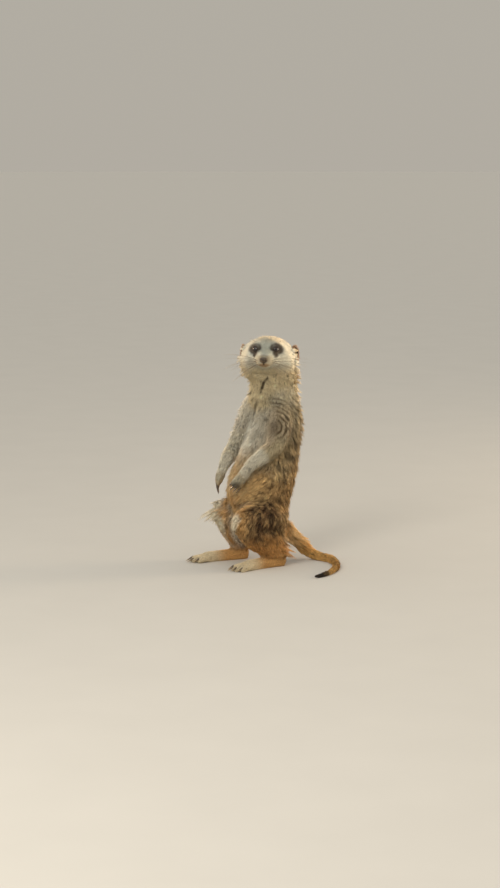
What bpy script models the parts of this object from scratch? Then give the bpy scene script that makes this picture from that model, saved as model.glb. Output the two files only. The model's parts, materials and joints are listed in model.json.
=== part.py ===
"""A life-size meerkat that sits upright on its hind feet, as solids for each part of its body.

Axes: +X is the animal's left, -Y the way its chest faces, +Z up, and the floor is Z = 0. The numbers below
are millimetres and MM turns them into metres. The forms give the outside of the coat. The flesh is blended
into one body, and that body is parted into named solids with cuts GAP wide.
"""

import math

import bmesh
import bpy
from mathutils import Matrix, Vector

MM = 0.001
SIDES = ("left", "right")
GAP = 0.3  # the clear width of every cut
CORE_VOXEL = 1.5  # grain of the first blend, of the large forms
FINE_VOXEL = 1.0  # grain of the second blend, which adds the digits
CORE_SMOOTHING = 9
FINE_SMOOTHING = 3
FLESH_TRIANGLES = 2640
FACE_DETAIL = 1.07  # how much finer the head and the hands are kept than the rest
TERRITORY_TRIANGLES = 170
RING_POINTS = 28

# ---- the driving sizes -----------------------------------------------------------------------------------
# Trunk and neck, from the rump up: height, sideways lean, set-back, half width, half depth.
TRUNK_RINGS = (
    (13, 0, 6, 12, 10),
    (20, 0, 4, 22, 19),
    (34, 0, 2, 27, 26),
    (50, 0, 0, 29.5, 29.5),
    (66, 0, -2.5, 32, 34),
    (82, 0, -3.5, 33.5, 39),
    (97, 0, 0, 34, 40),
    (112, 0, 4.5, 32.5, 38.5),
    (129, 0, 10.5, 30.5, 35),
    (148, 0, 16, 29, 32),
    (165, 0, 18.5, 28, 30),
    (180, 0, 16.5, 27.5, 29.5),
    (193, 1, 14.6, 27, 28),
    (207, 4, 12.6, 26.3, 26.8),
    (221, 8.6, 8.9, 26.8, 26),
    (236, 11, 4.4, 22, 22),
)

# Head: where its middle is, and how far it is turned to the animal's left.
HEAD_AT = Vector((13.7, -0.3, 245))
HEAD_TURN = math.radians(54.5)
# Its sections from the back of the skull to the nose: forward place, half width, height of the widest
# level, top, bottom.
HEAD_RINGS = (
    (-31, 9, -7, 0.5, -14),
    (-27, 18, -7, 7.8, -20),
    (-20, 27.5, -8, 13.2, -24),
    (-11, 31.2, -8.5, 15.8, -26),
    (-2, 31.3, -8.5, 16.6, -25),
    (6, 28.6, -8, 15.8, -22),
    (12, 24.4, -7, 13.2, -20),
    (17, 18, -6.5, 9.4, -18.5),
    (22, 13.4, -6.5, 5.4, -17.3),
    (27, 10.8, -7, 2.6, -16.4),
    (32, 9.0, -7.6, -0.4, -15.4),
    (36, 7.3, -8.0, -2.7, -13.9),
    (38.8, 4.8, -8.2, -5.0, -11.9),
)
CROWN_SQUARENESS, JAW_SQUARENESS = 1.85, 2.3
# Forms on both sides of the head: place (forward, side, up) and radii (forward, side, up).
HEAD_LUMPS = {
    "cheek": ((-1, 16, -12), (17, 15.5, 15)),
    "ruff": ((-4, 11.2, -21.5), (19, 18, 15.5)),
    "brow": ((9.5, 10.5, 5.6), (8, 9, 6.8)),
    "whisker_pad": ((30, 4.4, -9.8), (7.5, 5.4, 5.2)),
}
EYE_AT = Vector((15.2, 9.9, 3.4))
EYE_RADIUS = 4.7
NOSE_AT = Vector((38.2, 0, -7.0))
NOSE_RADII = Vector((2.9, 4.7, 3.5))
EAR_AT = Vector((-12, 28.8, -4))
EAR_RADII = Vector((6.2, 3.7, 7.8))
EAR_WALL = 2.0
EAR_FLARE = math.radians(20)
EAR_LEAN = math.radians(-12)
EAR_TUCK = math.radians(12)

# Limbs: a path of (x, y, z, radius), from the body outwards. "left" is the side at +X.
ARMS = {
    "left": (
        (20, 13, 174, 13.5),
        (28, 7.5, 155, 13.5),
        (34.5, -3, 138, 11),
        (32.5, -18, 127.5, 9.4),
        (28.5, -30.5, 118, 7.4),
        (23, -38, 105, 5.8),
    ),
    "right": (
        (-19, -1, 179, 14),
        (-28, -5, 158, 13),
        (-38.5, -14.5, 131, 10.2),
        (-35, -27, 117, 8.6),
        (-29.5, -35, 108, 6.6),
        (-27, -40, 100, 5.6),
    ),
}
THIGHS = {
    "left": ((17, 5, 50, 18), (27, -14, 56, 19), (32, -39, 56, 15.5)),
    "right": ((-17, 5, 51, 18), (-28, -12, 58, 19), (-35.5, -28, 61, 14.5), (-38, -37.5, 67, 8.5)),
}
SHANKS = {
    "left": ((33, -43, 51, 12.5), (31, -24, 36, 16), (29, -6, 24, 13.5), (28, 5, 13, 9)),
    "right": ((-36, -31, 56, 12.5), (-34, -25, 40, 13.5), (-31, -17, 25, 12), (-30, -12, 13, 9)),
}
HAUNCH_AT = {"left": Vector((20, -5, 38)), "right": Vector((-20, -7, 41))}
HAUNCH_RADII = Vector((16, 22, 26))
KNEE_FOLD_AT = {"left": Vector((29, -24, 45)), "right": Vector((-29, -22, 47))}
KNEE_FOLD_RADII = Vector((11, 17, 13))
FEET = {
    "left": ((28, 9, 6.2, 7.2), (29.5, -9, 5.6, 6.8), (31.5, -25.5, 4.8, 7.2), (32.5, -35.5, 3.8, 7.6)),
    "right": ((-30, -8, 6.2, 7.2), (-31.5, -26, 5.6, 6.8), (-34, -43, 4.8, 7.2), (-35, -53, 3.8, 7.6)),
}
TAIL = (
    (0, 18, 43, 12),
    (1.5, 32, 34.5, 10.5),
    (4.5, 44, 22, 8.4),
    (10, 54.5, 11, 6.2),
    (20, 64, 5.0, 5.6),
    (36, 69, 4.4, 5.2),
    (54, 66, 4.0, 4.9),
    (72, 57, 3.8, 4.6),
    (88, 45, 3.5, 4.2),
    (101, 30, 3.1, 3.8),
    (109, 14, 2.6, 3.2),
    (112, -1, 1.8, 2.2),
)

# Digits: four on each foot and hand, spread about the end of the limb.
TOE_SPREAD = (-8.6, -2.9, 2.9, 8.6)
TOE_LENGTHS = (13.5, 17.5, 17.5, 13.0)
TOE_RADIUS = 3.1
TOE_CLAW = 6.4
FINGER_SPREAD = (-5.0, -1.7, 1.7, 5.0)
FINGER_LENGTHS = (7.5, 9.5, 9.5, 7.5)
FINGER_RADIUS = 2.1
FINGER_CLAW = 7.5
# How each hand hangs: the way the fingers point, and the way the knuckles run.
HANDS = {
    "left": (Vector((-0.30, -0.50, -0.80)), Vector((0.50, 0.66, -0.56))),
    "right": (Vector((0.10, -0.30, -0.95)), Vector((-0.85, 0.45, -0.28))),
}
PALM_RADII = Vector((7.5, 7.0, 4.4))

# Where the body is parted: a point on each plane, and the direction of the outer piece.
HEAD_CUT = (Vector((0, 0, 221.5)), Vector((0, 0, 1)))
NECK_CUT = (Vector((0, 18, 189)), Vector((0, -0.25, 0.97)))
TAIL_ROOT_CUT = (Vector((0, 27, 37)), Vector((0, 0.85, -0.5)))
HIP_CUT = 9.0  # the legs reach in to this distance from the middle
ELBOW_CUT, WRIST_CUT = 0.5, 0.94  # shares along the arm
KNEE_CUT = {"left": Vector((32, -42, 49)), "right": Vector((-35, -34, 52))}
KNEE_CUT_NORMAL = Vector((0, -0.316, -0.949))
ANKLE_CUT = {"left": Vector((28, -15, 14)), "right": Vector((-30, -30, 14))}
ANKLE_CUT_NORMAL = Vector((0, 0.05, -1))
TAIL_CUTS = (0.33, 0.56, 0.79)  # shares along the tail
ARM_MARGIN, LEG_MARGIN, TAIL_MARGIN = 2.2, 1.2, 2.0  # how far the cuts run outside the limb's own form

# Finishes: colour, roughness.
FINISHES = {
    "coat_pale": ((0.62, 0.56, 0.46), 0.9),
    "coat_tan": ((0.46, 0.33, 0.19), 0.9),
    "coat_grizzled": ((0.36, 0.27, 0.17), 0.9),
    "coat_orange": ((0.52, 0.30, 0.12), 0.9),
    "horn": ((0.035, 0.028, 0.022), 0.35),
    "nose_leather": ((0.05, 0.034, 0.027), 0.45),
    "ear_black": ((0.04, 0.032, 0.026), 0.85),
    "eye_wet": ((0.018, 0.010, 0.006), 0.08),
}
# The finish of each node, by the start of its name.
NODE_FINISHES = (
    ("hand_claw", "horn"),
    ("foot_claw", "horn"),
    ("nose", "nose_leather"),
    ("ear", "ear_black"),
    ("eye", "eye_wet"),
    ("head", "coat_pale"),
    ("neck", "coat_pale"),
    ("trunk", "coat_grizzled"),
    ("thigh", "coat_grizzled"),
    ("shank", "coat_orange"),
    ("tail", "coat_orange"),
)


# ---- shared helpers --------------------------------------------------------------------------------------
def clear_scene():
    """Remove the objects that a new file holds, and make the two collections."""
    for obj in list(bpy.data.objects):
        bpy.data.objects.remove(obj)
    made = bpy.data.collections.new("meerkat")
    helpers = bpy.data.collections.new("helpers")
    for collection in (made, helpers):
        bpy.context.scene.collection.children.link(collection)
    helpers.hide_render = True
    return made, helpers


def new_object(name, mesh, collection):
    """An object in a collection; a helper is drawn as wire and left out of renders."""
    obj = bpy.data.objects.new(name, mesh)
    collection.objects.link(obj)
    if collection.hide_render:
        obj.display_type = "WIRE"
        obj.hide_render = True
    return obj


def settled_mesh(obj):
    """The mesh of an object with its modifiers applied."""
    bpy.context.view_layer.update()
    graph = bpy.context.evaluated_depsgraph_get()
    return bpy.data.meshes.new_from_object(obj.evaluated_get(graph))


def apply_modifiers(obj):
    mesh = settled_mesh(obj)
    obj.modifiers.clear()
    obj.data = mesh


def eased(values, share):
    """A point on the smooth curve through evenly numbered rows of values, with share from 0 to 1."""
    last = len(values) - 1
    place = min(share * last, last - 1e-9)
    i = int(place)
    t = place - i
    before, start, end, after = (values[max(0, min(last, i + k))] for k in (-1, 0, 1, 2))
    return [
        0.5 * (2 * b + (c - a) * t + (2 * a - 5 * b + 4 * c - d) * t * t + (3 * b - a - 3 * c + d) * t**3)
        for a, b, c, d in zip(before, start, end, after)
    ]


def loft(name, sections, collection, squareness=(2.0, 2.0)):
    """A closed skin over rings.

    Each section is a centre, a side direction with its reach, and an up direction with its reach above
    and below the centre. Squareness is for the upper and the lower half of a ring, and 2 is an ellipse.
    """
    bm = bmesh.new()
    rings = []
    for centre, side, across, up, above, below in sections:
        ring = []
        for k in range(RING_POINTS):
            angle = math.tau * k / RING_POINTS
            c, s = math.cos(angle), math.sin(angle)
            power = 2 / squareness[0 if s > 0 else 1]
            x = math.copysign(abs(c) ** power, c) * across
            z = math.copysign(abs(s) ** power, s) * (above if s > 0 else below)
            ring.append(bm.verts.new((centre + side * x + up * z) * MM))
        rings.append(ring)
    for lower, upper in zip(rings, rings[1:]):
        for k in range(RING_POINTS):
            n = (k + 1) % RING_POINTS
            bm.faces.new((lower[k], lower[n], upper[n], upper[k]))
    bm.faces.new(list(reversed(rings[0])))
    bm.faces.new(rings[-1])
    bmesh.ops.recalc_face_normals(bm, faces=bm.faces)
    mesh = bpy.data.meshes.new(name)
    bm.to_mesh(mesh)
    bm.free()
    return new_object(name, mesh, collection)


def ball(name, centre, radii, collection, turn=None, detail=(24, 16)):
    """An ellipsoid, turned by a rotation matrix about its centre."""
    bm = bmesh.new()
    bmesh.ops.create_uvsphere(bm, u_segments=detail[0], v_segments=detail[1], radius=MM)
    placing = Matrix.Translation(centre * MM)
    if turn:
        placing = placing @ turn.to_4x4()
    bm.transform(placing @ Matrix.Diagonal((*radii, 1)))
    mesh = bpy.data.meshes.new(name)
    bm.to_mesh(mesh)
    bm.free()
    return new_object(name, mesh, collection)


def tube(name, path, collection, grow=0.0, steps=6, sides=20):
    """A round limb along a smooth path of (x, y, z, radius), with a ball at both ends."""
    count = steps * (len(path) - 1)
    rows = [eased(path, i / count) for i in range(count + 1)]
    curve = bpy.data.curves.new(name, "CURVE")
    curve.dimensions = "3D"
    curve.bevel_depth = MM
    curve.bevel_resolution = (sides - 4) // 2
    curve.use_fill_caps = True
    spline = curve.splines.new("POLY")
    spline.points.add(count)
    for point, (x, y, z, radius) in zip(spline.points, rows):
        point.co = (x * MM, y * MM, z * MM, 1)
        point.radius = radius + grow
    guide = new_object(name, curve, collection)
    mesh = settled_mesh(guide)
    bpy.data.objects.remove(guide)
    weld(mesh)
    parts = [new_object(name, mesh, collection)]
    for end, (x, y, z, radius) in (("start", rows[0]), ("end", rows[-1])):
        reach = Vector([radius + grow] * 3)
        parts.append(ball(f"{name}_{end}", Vector((x, y, z)), reach, collection))
    return join(name, parts)


def weld(mesh):
    bm = bmesh.new()
    bm.from_mesh(mesh)
    bmesh.ops.remove_doubles(bm, verts=bm.verts, dist=0.01 * MM)
    bmesh.ops.recalc_face_normals(bm, faces=bm.faces)
    bm.to_mesh(mesh)
    bm.free()


def join(name, objects):
    """One object that holds the meshes of several, in world space."""
    bm = bmesh.new()
    for obj in objects:
        first = len(bm.verts)
        bm.from_mesh(obj.data)
        bm.verts.ensure_lookup_table()
        bmesh.ops.transform(bm, matrix=obj.matrix_world, verts=bm.verts[first:])
    mesh = bpy.data.meshes.new(name)
    bm.to_mesh(mesh)
    bm.free()
    collection = objects[0].users_collection[0]
    for obj in objects:
        bpy.data.objects.remove(obj)
    return new_object(name, mesh, collection)


def blend(name, forms, voxel, smoothing):
    """Melt overlapping forms into one closed body."""
    body = join(name, forms)
    remesh = body.modifiers.new("remesh", "REMESH")
    remesh.mode = "VOXEL"
    remesh.voxel_size = voxel * MM
    if smoothing:
        smooth = body.modifiers.new("smooth", "SMOOTH")
        smooth.factor = 0.5
        smooth.iterations = smoothing
    apply_modifiers(body)
    return body


def boolean(target, cutter, operation):
    modifier = target.modifiers.new(operation.lower(), "BOOLEAN")
    modifier.operation = operation
    modifier.object = cutter
    apply_modifiers(target)


def largest_piece(obj):
    """Drop the crumbs that a cut leaves beside its main piece."""
    bm = bmesh.new()
    bm.from_mesh(obj.data)
    bmesh.ops.remove_doubles(bm, verts=bm.verts, dist=0.005 * MM)
    todo, groups = set(bm.verts), []
    while todo:
        group, edge = set(), [todo.pop()]
        while edge:
            vert = edge.pop()
            group.add(vert)
            for link in vert.link_edges:
                other = link.other_vert(vert)
                if other in todo:
                    todo.discard(other)
                    edge.append(other)
        groups.append(group)
    groups.sort(key=len, reverse=True)
    crumbs = [vert for group in groups[1:] for vert in group]
    bmesh.ops.delete(bm, geom=crumbs, context="VERTS")
    bm.to_mesh(obj.data)
    bm.free()


def half_space(name, point, normal, collection, reach=320.0):
    """A large box whose one face passes through the point, and which fills the side the normal shows."""
    bm = bmesh.new()
    bmesh.ops.create_cube(bm, size=reach * MM)
    normal = normal.normalized()
    centre = point + normal * reach / 2
    turn = normal.to_track_quat("Z", "Y").to_matrix().to_4x4()
    bm.transform(Matrix.Translation(centre * MM) @ turn)
    mesh = bpy.data.meshes.new(name)
    bm.to_mesh(mesh)
    bm.free()
    return new_object(name, mesh, collection)


def peel(name, body, keep, leave, made):
    """Take the part of a body inside "keep" as its own solid, and leave the body what is outside "leave"."""
    piece = new_object(name, body.data.copy(), made)
    boolean(piece, keep, "INTERSECT")
    boolean(body, leave, "DIFFERENCE")
    largest_piece(piece)
    largest_piece(body)
    return piece


def slice_off(name, body, point, normal, made, helpers):
    """Part a solid at a plane: the side the normal shows becomes the new piece."""
    keep = half_space("keep", point + normal.normalized() * GAP / 2, normal, helpers)
    leave = half_space("leave", point - normal.normalized() * GAP / 2, normal, helpers)
    piece = peel(name, body, keep, leave, made)
    bpy.data.objects.remove(keep)
    bpy.data.objects.remove(leave)
    return piece


# ---- the head's own frame --------------------------------------------------------------------------------
def head_axes():
    """The head's forward, left and up directions."""
    forward = Vector((math.sin(HEAD_TURN), -math.cos(HEAD_TURN), 0))
    up = Vector((0, 0, 1))
    return forward, up.cross(forward), up


def in_head(place, side=1):
    """A place given as (forward, side, up) in the head, on its left (1) or right (-1), in body axes."""
    forward, left, up = head_axes()
    return HEAD_AT + forward * place[0] + left * (place[1] * side) + up * place[2]


def head_turn():
    forward, left, up = head_axes()
    return Matrix((forward, left, up)).transposed()


# ---- the forms -------------------------------------------------------------------------------------------
def trunk_form(helpers):
    """Trunk and neck in one, round in section, with the belly let forward between the knees."""
    count = 5 * (len(TRUNK_RINGS) - 1)
    sections = []
    for i in range(count + 1):
        z, lean, back, wide, deep = eased(TRUNK_RINGS, i / count)
        centre = Vector((lean, back, z))
        sections.append((centre, Vector((1, 0, 0)), wide, Vector((0, 1, 0)), deep, deep))
    return loft("trunk_form", sections, helpers, squareness=(2.1, 2.1))


def head_forms(helpers):
    """Skull with the muzzle, and the paired forms of the face."""
    forward, left, up = head_axes()
    count = 4 * (len(HEAD_RINGS) - 1)
    sections = []
    for i in range(count + 1):
        place, wide, level, top, bottom = eased(HEAD_RINGS, i / count)
        sections.append((in_head((place, 0, level)), left, wide, up, top - level, level - bottom))
    forms = [loft("skull", sections, helpers, (CROWN_SQUARENESS, JAW_SQUARENESS))]
    for name, (place, radii) in HEAD_LUMPS.items():
        for side in (1, -1):
            forms.append(ball(name, in_head(place, side), radii, helpers, head_turn()))
    return forms


def limb_forms(side, helpers):
    """The arm, thigh, haunch, shank and foot of one side."""
    return [
        tube("arm", ARMS[side], helpers),
        tube("thigh", THIGHS[side], helpers),
        ball("haunch", HAUNCH_AT[side], HAUNCH_RADII, helpers),
        ball("knee_fold", KNEE_FOLD_AT[side], KNEE_FOLD_RADII, helpers),
        tube("shank", SHANKS[side], helpers),
        tube("foot", FEET[side], helpers),
    ]


def hand_frame(side):
    """Where a hand begins, the way its fingers point and the way its knuckles run."""
    wrist = Vector(ARMS[side][-1][:3])
    along, across = (axis.normalized() for axis in HANDS[side])
    across = (across - along * across.dot(along)).normalized()
    return wrist, along, across


def digits(side):
    """Each digit of a side: its name, its path of (x, y, z, radius), and its claw's path."""
    wrist, along, across = hand_frame(side)
    palm = wrist + along * 5
    inward = along.cross(across)
    if inward.y < 0:
        inward = -inward
    for k, (spread, length) in enumerate(zip(FINGER_SPREAD, FINGER_LENGTHS)):
        root = palm + across * spread * 0.75
        knuckle = palm + across * spread + along * (length * 0.5) - inward * 1.0
        tip = palm + across * spread * 1.12 + along * length + inward * 0.4
        path = [(*p, r) for p, r in ((root, 2.6), (knuckle, FINGER_RADIUS + 0.15), (tip, FINGER_RADIUS))]
        claw = claw_path(tip - along * 1.2, along, inward, FINGER_CLAW, 1.15)
        yield f"finger_{side}_{k + 1}", path, claw
    ball_of_foot = Vector(FEET[side][-1][:3])
    heel = Vector(FEET[side][0][:3])
    ahead = (ball_of_foot - heel) * Vector((1, 1, 0))
    ahead.normalize()
    out = Vector((0, 0, 1)).cross(ahead)
    for k, (spread, length) in enumerate(zip(TOE_SPREAD, TOE_LENGTHS)):
        root = ball_of_foot + out * spread * 0.62 + Vector((0, 0, 0.4))
        middle = ball_of_foot + out * spread * 0.9 + ahead * (length * 0.55)
        middle.z = 4.2
        tip = ball_of_foot + out * spread * 1.02 + ahead * length
        tip.z = 2.9
        path = [(*p, r) for p, r in ((root, 3.9), (middle, TOE_RADIUS + 0.3), (tip, TOE_RADIUS))]
        claw = claw_path(tip + Vector((0, 0, 0.6)) + ahead, ahead, Vector((0, 0, -1)), TOE_CLAW, 1.2)
        yield f"toe_{side}_{k + 1}", path, claw


def claw_path(root, along, bend, length, radius):
    """A claw curves towards "bend" and tapers to its point."""
    rows = []
    for share in (0, 0.35, 0.7, 1):
        place = root + along * length * share + bend * length * 0.26 * share * share
        rows.append((*place, radius * (1 - 0.72 * share)))
    return rows


def palm_form(side, helpers):
    wrist, along, across = hand_frame(side)
    turn = Matrix((along, across, along.cross(across))).transposed()
    return ball("palm", wrist + along * 4.5, PALM_RADII, helpers, turn)


def flesh(helpers):
    """The whole body in one piece: the large forms first, then the digits, then the flats that it rests on."""
    forms = [trunk_form(helpers), *head_forms(helpers), tube("tail", TAIL, helpers)]
    for side in SIDES:
        forms += limb_forms(side, helpers)
    core = blend("flesh", forms, CORE_VOXEL, CORE_SMOOTHING)
    fine = [core]
    for side in SIDES:
        fine.append(palm_form(side, helpers))
        for name, path, _ in digits(side):
            fine.append(tube(name, path, helpers, steps=4, sides=12))
    body = blend("flesh", fine, FINE_VOXEL, FINE_SMOOTHING)
    thin_out(body, FLESH_TRIANGLES)
    earth = half_space("earth", Vector((0, 0, 0)), Vector((0, 0, -1)), helpers, reach=500)
    boolean(body, earth, "DIFFERENCE")
    bpy.data.objects.remove(earth)
    largest_piece(body)
    return body


def thin_out(obj, triangles):
    """Bring a mesh down to a number of triangles, with the face and the hands kept finer."""
    group = obj.vertex_groups.new(name="coarse")
    for vert in obj.data.vertices:
        z = vert.co.z / MM
        place = vert.co / MM
        hand = min((place - Vector(ARMS[side][-1][:3])).length for side in SIDES) < 24
        fine = z > HEAD_CUT[0].z - 4 or hand or z < 9
        group.add([vert.index], 1 / FACE_DETAIL if fine else 1.0, "REPLACE")
    decimate = obj.modifiers.new("decimate", "DECIMATE")
    decimate.vertex_group = group.name
    decimate.vertex_group_factor = 1.0
    decimate.ratio = triangles / sum(len(face.vertices) - 2 for face in obj.data.polygons)
    apply_modifiers(obj)


# ---- parting -------------------------------------------------------------------------------------------
def territory(forms, triangles=TERRITORY_TRIANGLES):
    """A coarse closed hull about some forms, and the same hull GAP larger, to cut both sides of a joint."""
    keep = blend("keep", forms, CORE_VOXEL, 4)
    decimate = keep.modifiers.new("decimate", "DECIMATE")
    decimate.ratio = triangles / sum(len(face.vertices) - 2 for face in keep.data.polygons)
    apply_modifiers(keep)
    leave = new_object("leave", keep.data.copy(), keep.users_collection[0])
    normals = [vert.normal.copy() for vert in leave.data.vertices]
    for vert, normal in zip(leave.data.vertices, normals):
        vert.co += normal * GAP * MM
    return keep, leave


def trim(pair, point, normal, helpers):
    """Cut a territory off behind a plane; the larger hull ends GAP further out."""
    for obj, shift in zip(pair, (0, GAP)):
        behind = half_space("behind", point - normal.normalized() * shift, -normal, helpers)
        boolean(obj, behind, "DIFFERENCE")
        bpy.data.objects.remove(behind)


def peel_territory(name, body, pair, made):
    piece = peel(name, body, *pair, made)
    for obj in pair:
        bpy.data.objects.remove(obj)
    return piece


def path_cut(path, share):
    """The point and the direction of a smooth path at a share of its length."""
    here = Vector(eased(path, share)[:3])
    ahead = Vector(eased(path, min(1, share + 0.02))[:3])
    behind = Vector(eased(path, max(0, share - 0.02))[:3])
    return here, ahead - behind


def part_tail(body, made, helpers):
    point, normal = TAIL_ROOT_CUT
    pair = territory([tube("tail", TAIL, helpers, TAIL_MARGIN)])
    trim(pair, point, normal, helpers)
    rest = peel_territory("tail_1", body, pair, made)
    pieces = [rest]
    for k, share in enumerate(TAIL_CUTS):
        point, along = path_cut(TAIL, share)
        rest = slice_off(f"tail_{k + 2}", rest, point, along, made, helpers)
        pieces.append(rest)
    return pieces


def part_arm(side, body, made, helpers):
    wrist, along, across = hand_frame(side)
    turn = Matrix((along, across, along.cross(across))).transposed()
    forms = [
        tube("arm", ARMS[side], helpers, ARM_MARGIN),
        ball("hand", wrist + along * 8, Vector((17, 11, 7.5)), helpers, turn),
    ]
    upper = peel_territory(f"upper_arm_{side}", body, territory(forms), made)
    forearm = slice_off(f"forearm_{side}", upper, *path_cut(ARMS[side], ELBOW_CUT), made, helpers)
    hand = slice_off(f"hand_{side}", forearm, *path_cut(ARMS[side], WRIST_CUT), made, helpers)
    return upper, forearm, hand


def part_leg(side, body, made, helpers):
    sign = 1 if side == "left" else -1
    more = Vector([LEG_MARGIN] * 3)
    toes = Vector(FEET[side][-1][:3]) + Vector((0, -10, 0))
    forms = [
        tube("thigh", THIGHS[side], helpers, LEG_MARGIN),
        ball("haunch", HAUNCH_AT[side], HAUNCH_RADII + more, helpers),
        ball("knee_fold", KNEE_FOLD_AT[side], KNEE_FOLD_RADII + more, helpers),
        tube("shank", SHANKS[side], helpers, LEG_MARGIN + 0.6),
        tube("foot", FEET[side], helpers, LEG_MARGIN + 1),
        ball("toes", toes, Vector((17, 20, 13)), helpers),
    ]
    pair = territory(forms, TERRITORY_TRIANGLES + 100)
    trim(pair, Vector((HIP_CUT * sign, 0, 0)), Vector((sign, 0, 0)), helpers)
    thigh = peel_territory(f"thigh_{side}", body, pair, made)
    shank = slice_off(f"shank_{side}", thigh, KNEE_CUT[side], KNEE_CUT_NORMAL, made, helpers)
    foot = slice_off(f"foot_{side}", shank, ANKLE_CUT[side], ANKLE_CUT_NORMAL, made, helpers)
    return thigh, shank, foot


# ---- the small parts ------------------------------------------------------------------------------------
def horn(name, path, collection, grow=0.0, sides=6):
    """A closed claw along a path of (x, y, z, radius)."""
    along = (Vector(path[-1][:3]) - Vector(path[0][:3])).normalized()
    side = along.orthogonal().normalized()
    up = along.cross(side)
    bm = bmesh.new()
    rings = []
    for i, (x, y, z, radius) in enumerate(path):
        ends = -grow if i == 0 else grow if i == len(path) - 1 else 0.0
        centre = Vector((x, y, z)) + along * ends
        ring = []
        for k in range(sides):
            angle = math.tau * k / sides
            spoke = side * math.cos(angle) + up * math.sin(angle)
            ring.append(bm.verts.new((centre + spoke * (radius + grow)) * MM))
        rings.append(ring)
    for lower, upper in zip(rings, rings[1:]):
        for k in range(sides):
            n = (k + 1) % sides
            bm.faces.new((lower[k], lower[n], upper[n], upper[k]))
    bm.faces.new(list(reversed(rings[0])))
    bm.faces.new(rings[-1])
    bmesh.ops.recalc_face_normals(bm, faces=bm.faces)
    mesh = bpy.data.meshes.new(name)
    bm.to_mesh(mesh)
    bm.free()
    return new_object(name, mesh, collection)


def set_in(host, cutters):
    """Make room in a solid for the parts that sit in it."""
    for cutter in cutters:
        boolean(host, cutter, "DIFFERENCE")
        bpy.data.objects.remove(cutter)
    largest_piece(host)


def add_claws(side, hand, foot, made, helpers):
    claws = []
    for name, _, path in digits(side):
        host = hand if name.startswith("finger") else foot
        set_in(host, [horn("socket", path, helpers, GAP)])
        claws.append(horn(name.replace("finger", "hand_claw").replace("toe", "foot_claw"), path, made))
    return claws


def ear_shell(name, side, collection, grow=0.0, hollow=True):
    """A low round ear, open to the side and to the front."""
    turn = head_turn() @ Matrix.Rotation(EAR_TUCK * side, 3, "X")
    turn = turn @ Matrix.Rotation(-EAR_FLARE * side, 3, "Z") @ Matrix.Rotation(EAR_LEAN, 3, "Y")
    at = in_head(EAR_AT, side)
    ear = ball(name, at, EAR_RADII + Vector([grow] * 3), collection, turn, detail=(12, 8))
    if hollow:
        mouth = at + turn @ Vector((0, EAR_WALL * side * 1.25, 0))
        inner = EAR_RADII - Vector((EAR_WALL, EAR_WALL * 0.5, EAR_WALL))
        cup = ball("cup", mouth + turn @ Vector((1.2, 0, 0)), inner, collection, turn, detail=(12, 8))
        boolean(ear, cup, "DIFFERENCE")
        bpy.data.objects.remove(cup)
    return ear


def add_face_parts(head, made, helpers):
    """Eyes in their sockets, the nose pad, and the ears."""
    parts = {}
    room = Vector([GAP] * 3)
    for side, word in ((1, "left"), (-1, "right")):
        eye = in_head(EYE_AT, side)
        radii = Vector([EYE_RADIUS] * 3)
        set_in(head, [
            ball("socket", eye, radii + room, helpers, detail=(16, 10)),
            ear_shell("socket", side, helpers, GAP, hollow=False),
        ])
        parts[f"eye_{word}"] = ball(f"eye_{word}", eye, radii, made, detail=(14, 9))
        parts[f"ear_{word}"] = ear_shell(f"ear_{word}", side, made)
    nose = in_head(NOSE_AT)
    set_in(head, [ball("socket", nose, NOSE_RADII + room, helpers, head_turn(), detail=(12, 7))])
    parts["nose"] = ball("nose", nose, NOSE_RADII, made, head_turn(), detail=(12, 7))
    return parts


def finish_of(name):
    """The name of the finish that a node wears."""
    for start, finish in NODE_FINISHES:
        if name.startswith(start):
            return finish
    return "coat_tan"


def dress(obj):
    """Give a node its own material, and shade it round."""
    colour, roughness = FINISHES[finish_of(obj.name)]
    material = bpy.data.materials.new(f"{obj.name}_{finish_of(obj.name)}")
    material.use_nodes = True
    shader = material.node_tree.nodes["Principled BSDF"]
    shader.inputs["Base Color"].default_value = (*colour, 1)
    shader.inputs["Roughness"].default_value = roughness
    shader.inputs["Metallic"].default_value = 0.0
    obj.data.materials.clear()
    obj.data.materials.append(material)
    for face in obj.data.polygons:
        face.use_smooth = True
        face.material_index = 0


def centre_on_floor(objects):
    """Bring the middle of the whole model's footprint to the origin, with the floor at Z = 0."""
    places = [vert.co for obj in objects for vert in obj.data.vertices]
    low = Vector([min(place[i] for place in places) for i in range(3)])
    high = Vector([max(place[i] for place in places) for i in range(3)])
    move = Matrix.Translation(-Vector(((low.x + high.x) / 2, (low.y + high.y) / 2, low.z)))
    for obj in objects:
        obj.data.transform(move)


def main():
    made, helpers = clear_scene()
    body = flesh(helpers)
    part_tail(body, made, helpers)
    for side in SIDES:
        hand = part_arm(side, body, made, helpers)[2]
        foot = part_leg(side, body, made, helpers)[2]
        add_claws(side, hand, foot, made, helpers)
    neck = slice_off("neck", body, *NECK_CUT, made, helpers)
    head = slice_off("head", neck, *HEAD_CUT, made, helpers)
    new_object("trunk", body.data, made)
    bpy.data.objects.remove(body)
    add_face_parts(head, made, helpers)
    centre_on_floor(list(made.objects))
    for obj in made.objects:
        dress(obj)


if __name__ == "__main__":
    main()
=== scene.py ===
"""A life-size meerkat on the look-out, as a museum would show it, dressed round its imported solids.

The skin is one closed form, set in from the solids by the depth of the coat. The coat is cut as
small solid locks that follow the lie of the hair. Sizes are in millimetres in the maker's frame,
whose origin lies on the floor under the trunk: +X is the animal's left and -Y the way its chest
faces. They are turned to metres in the row's frame when a piece is made.
"""

import sys
import itertools
import json
import logging
import math
from dataclasses import astuple, dataclass
from enum import Enum

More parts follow.
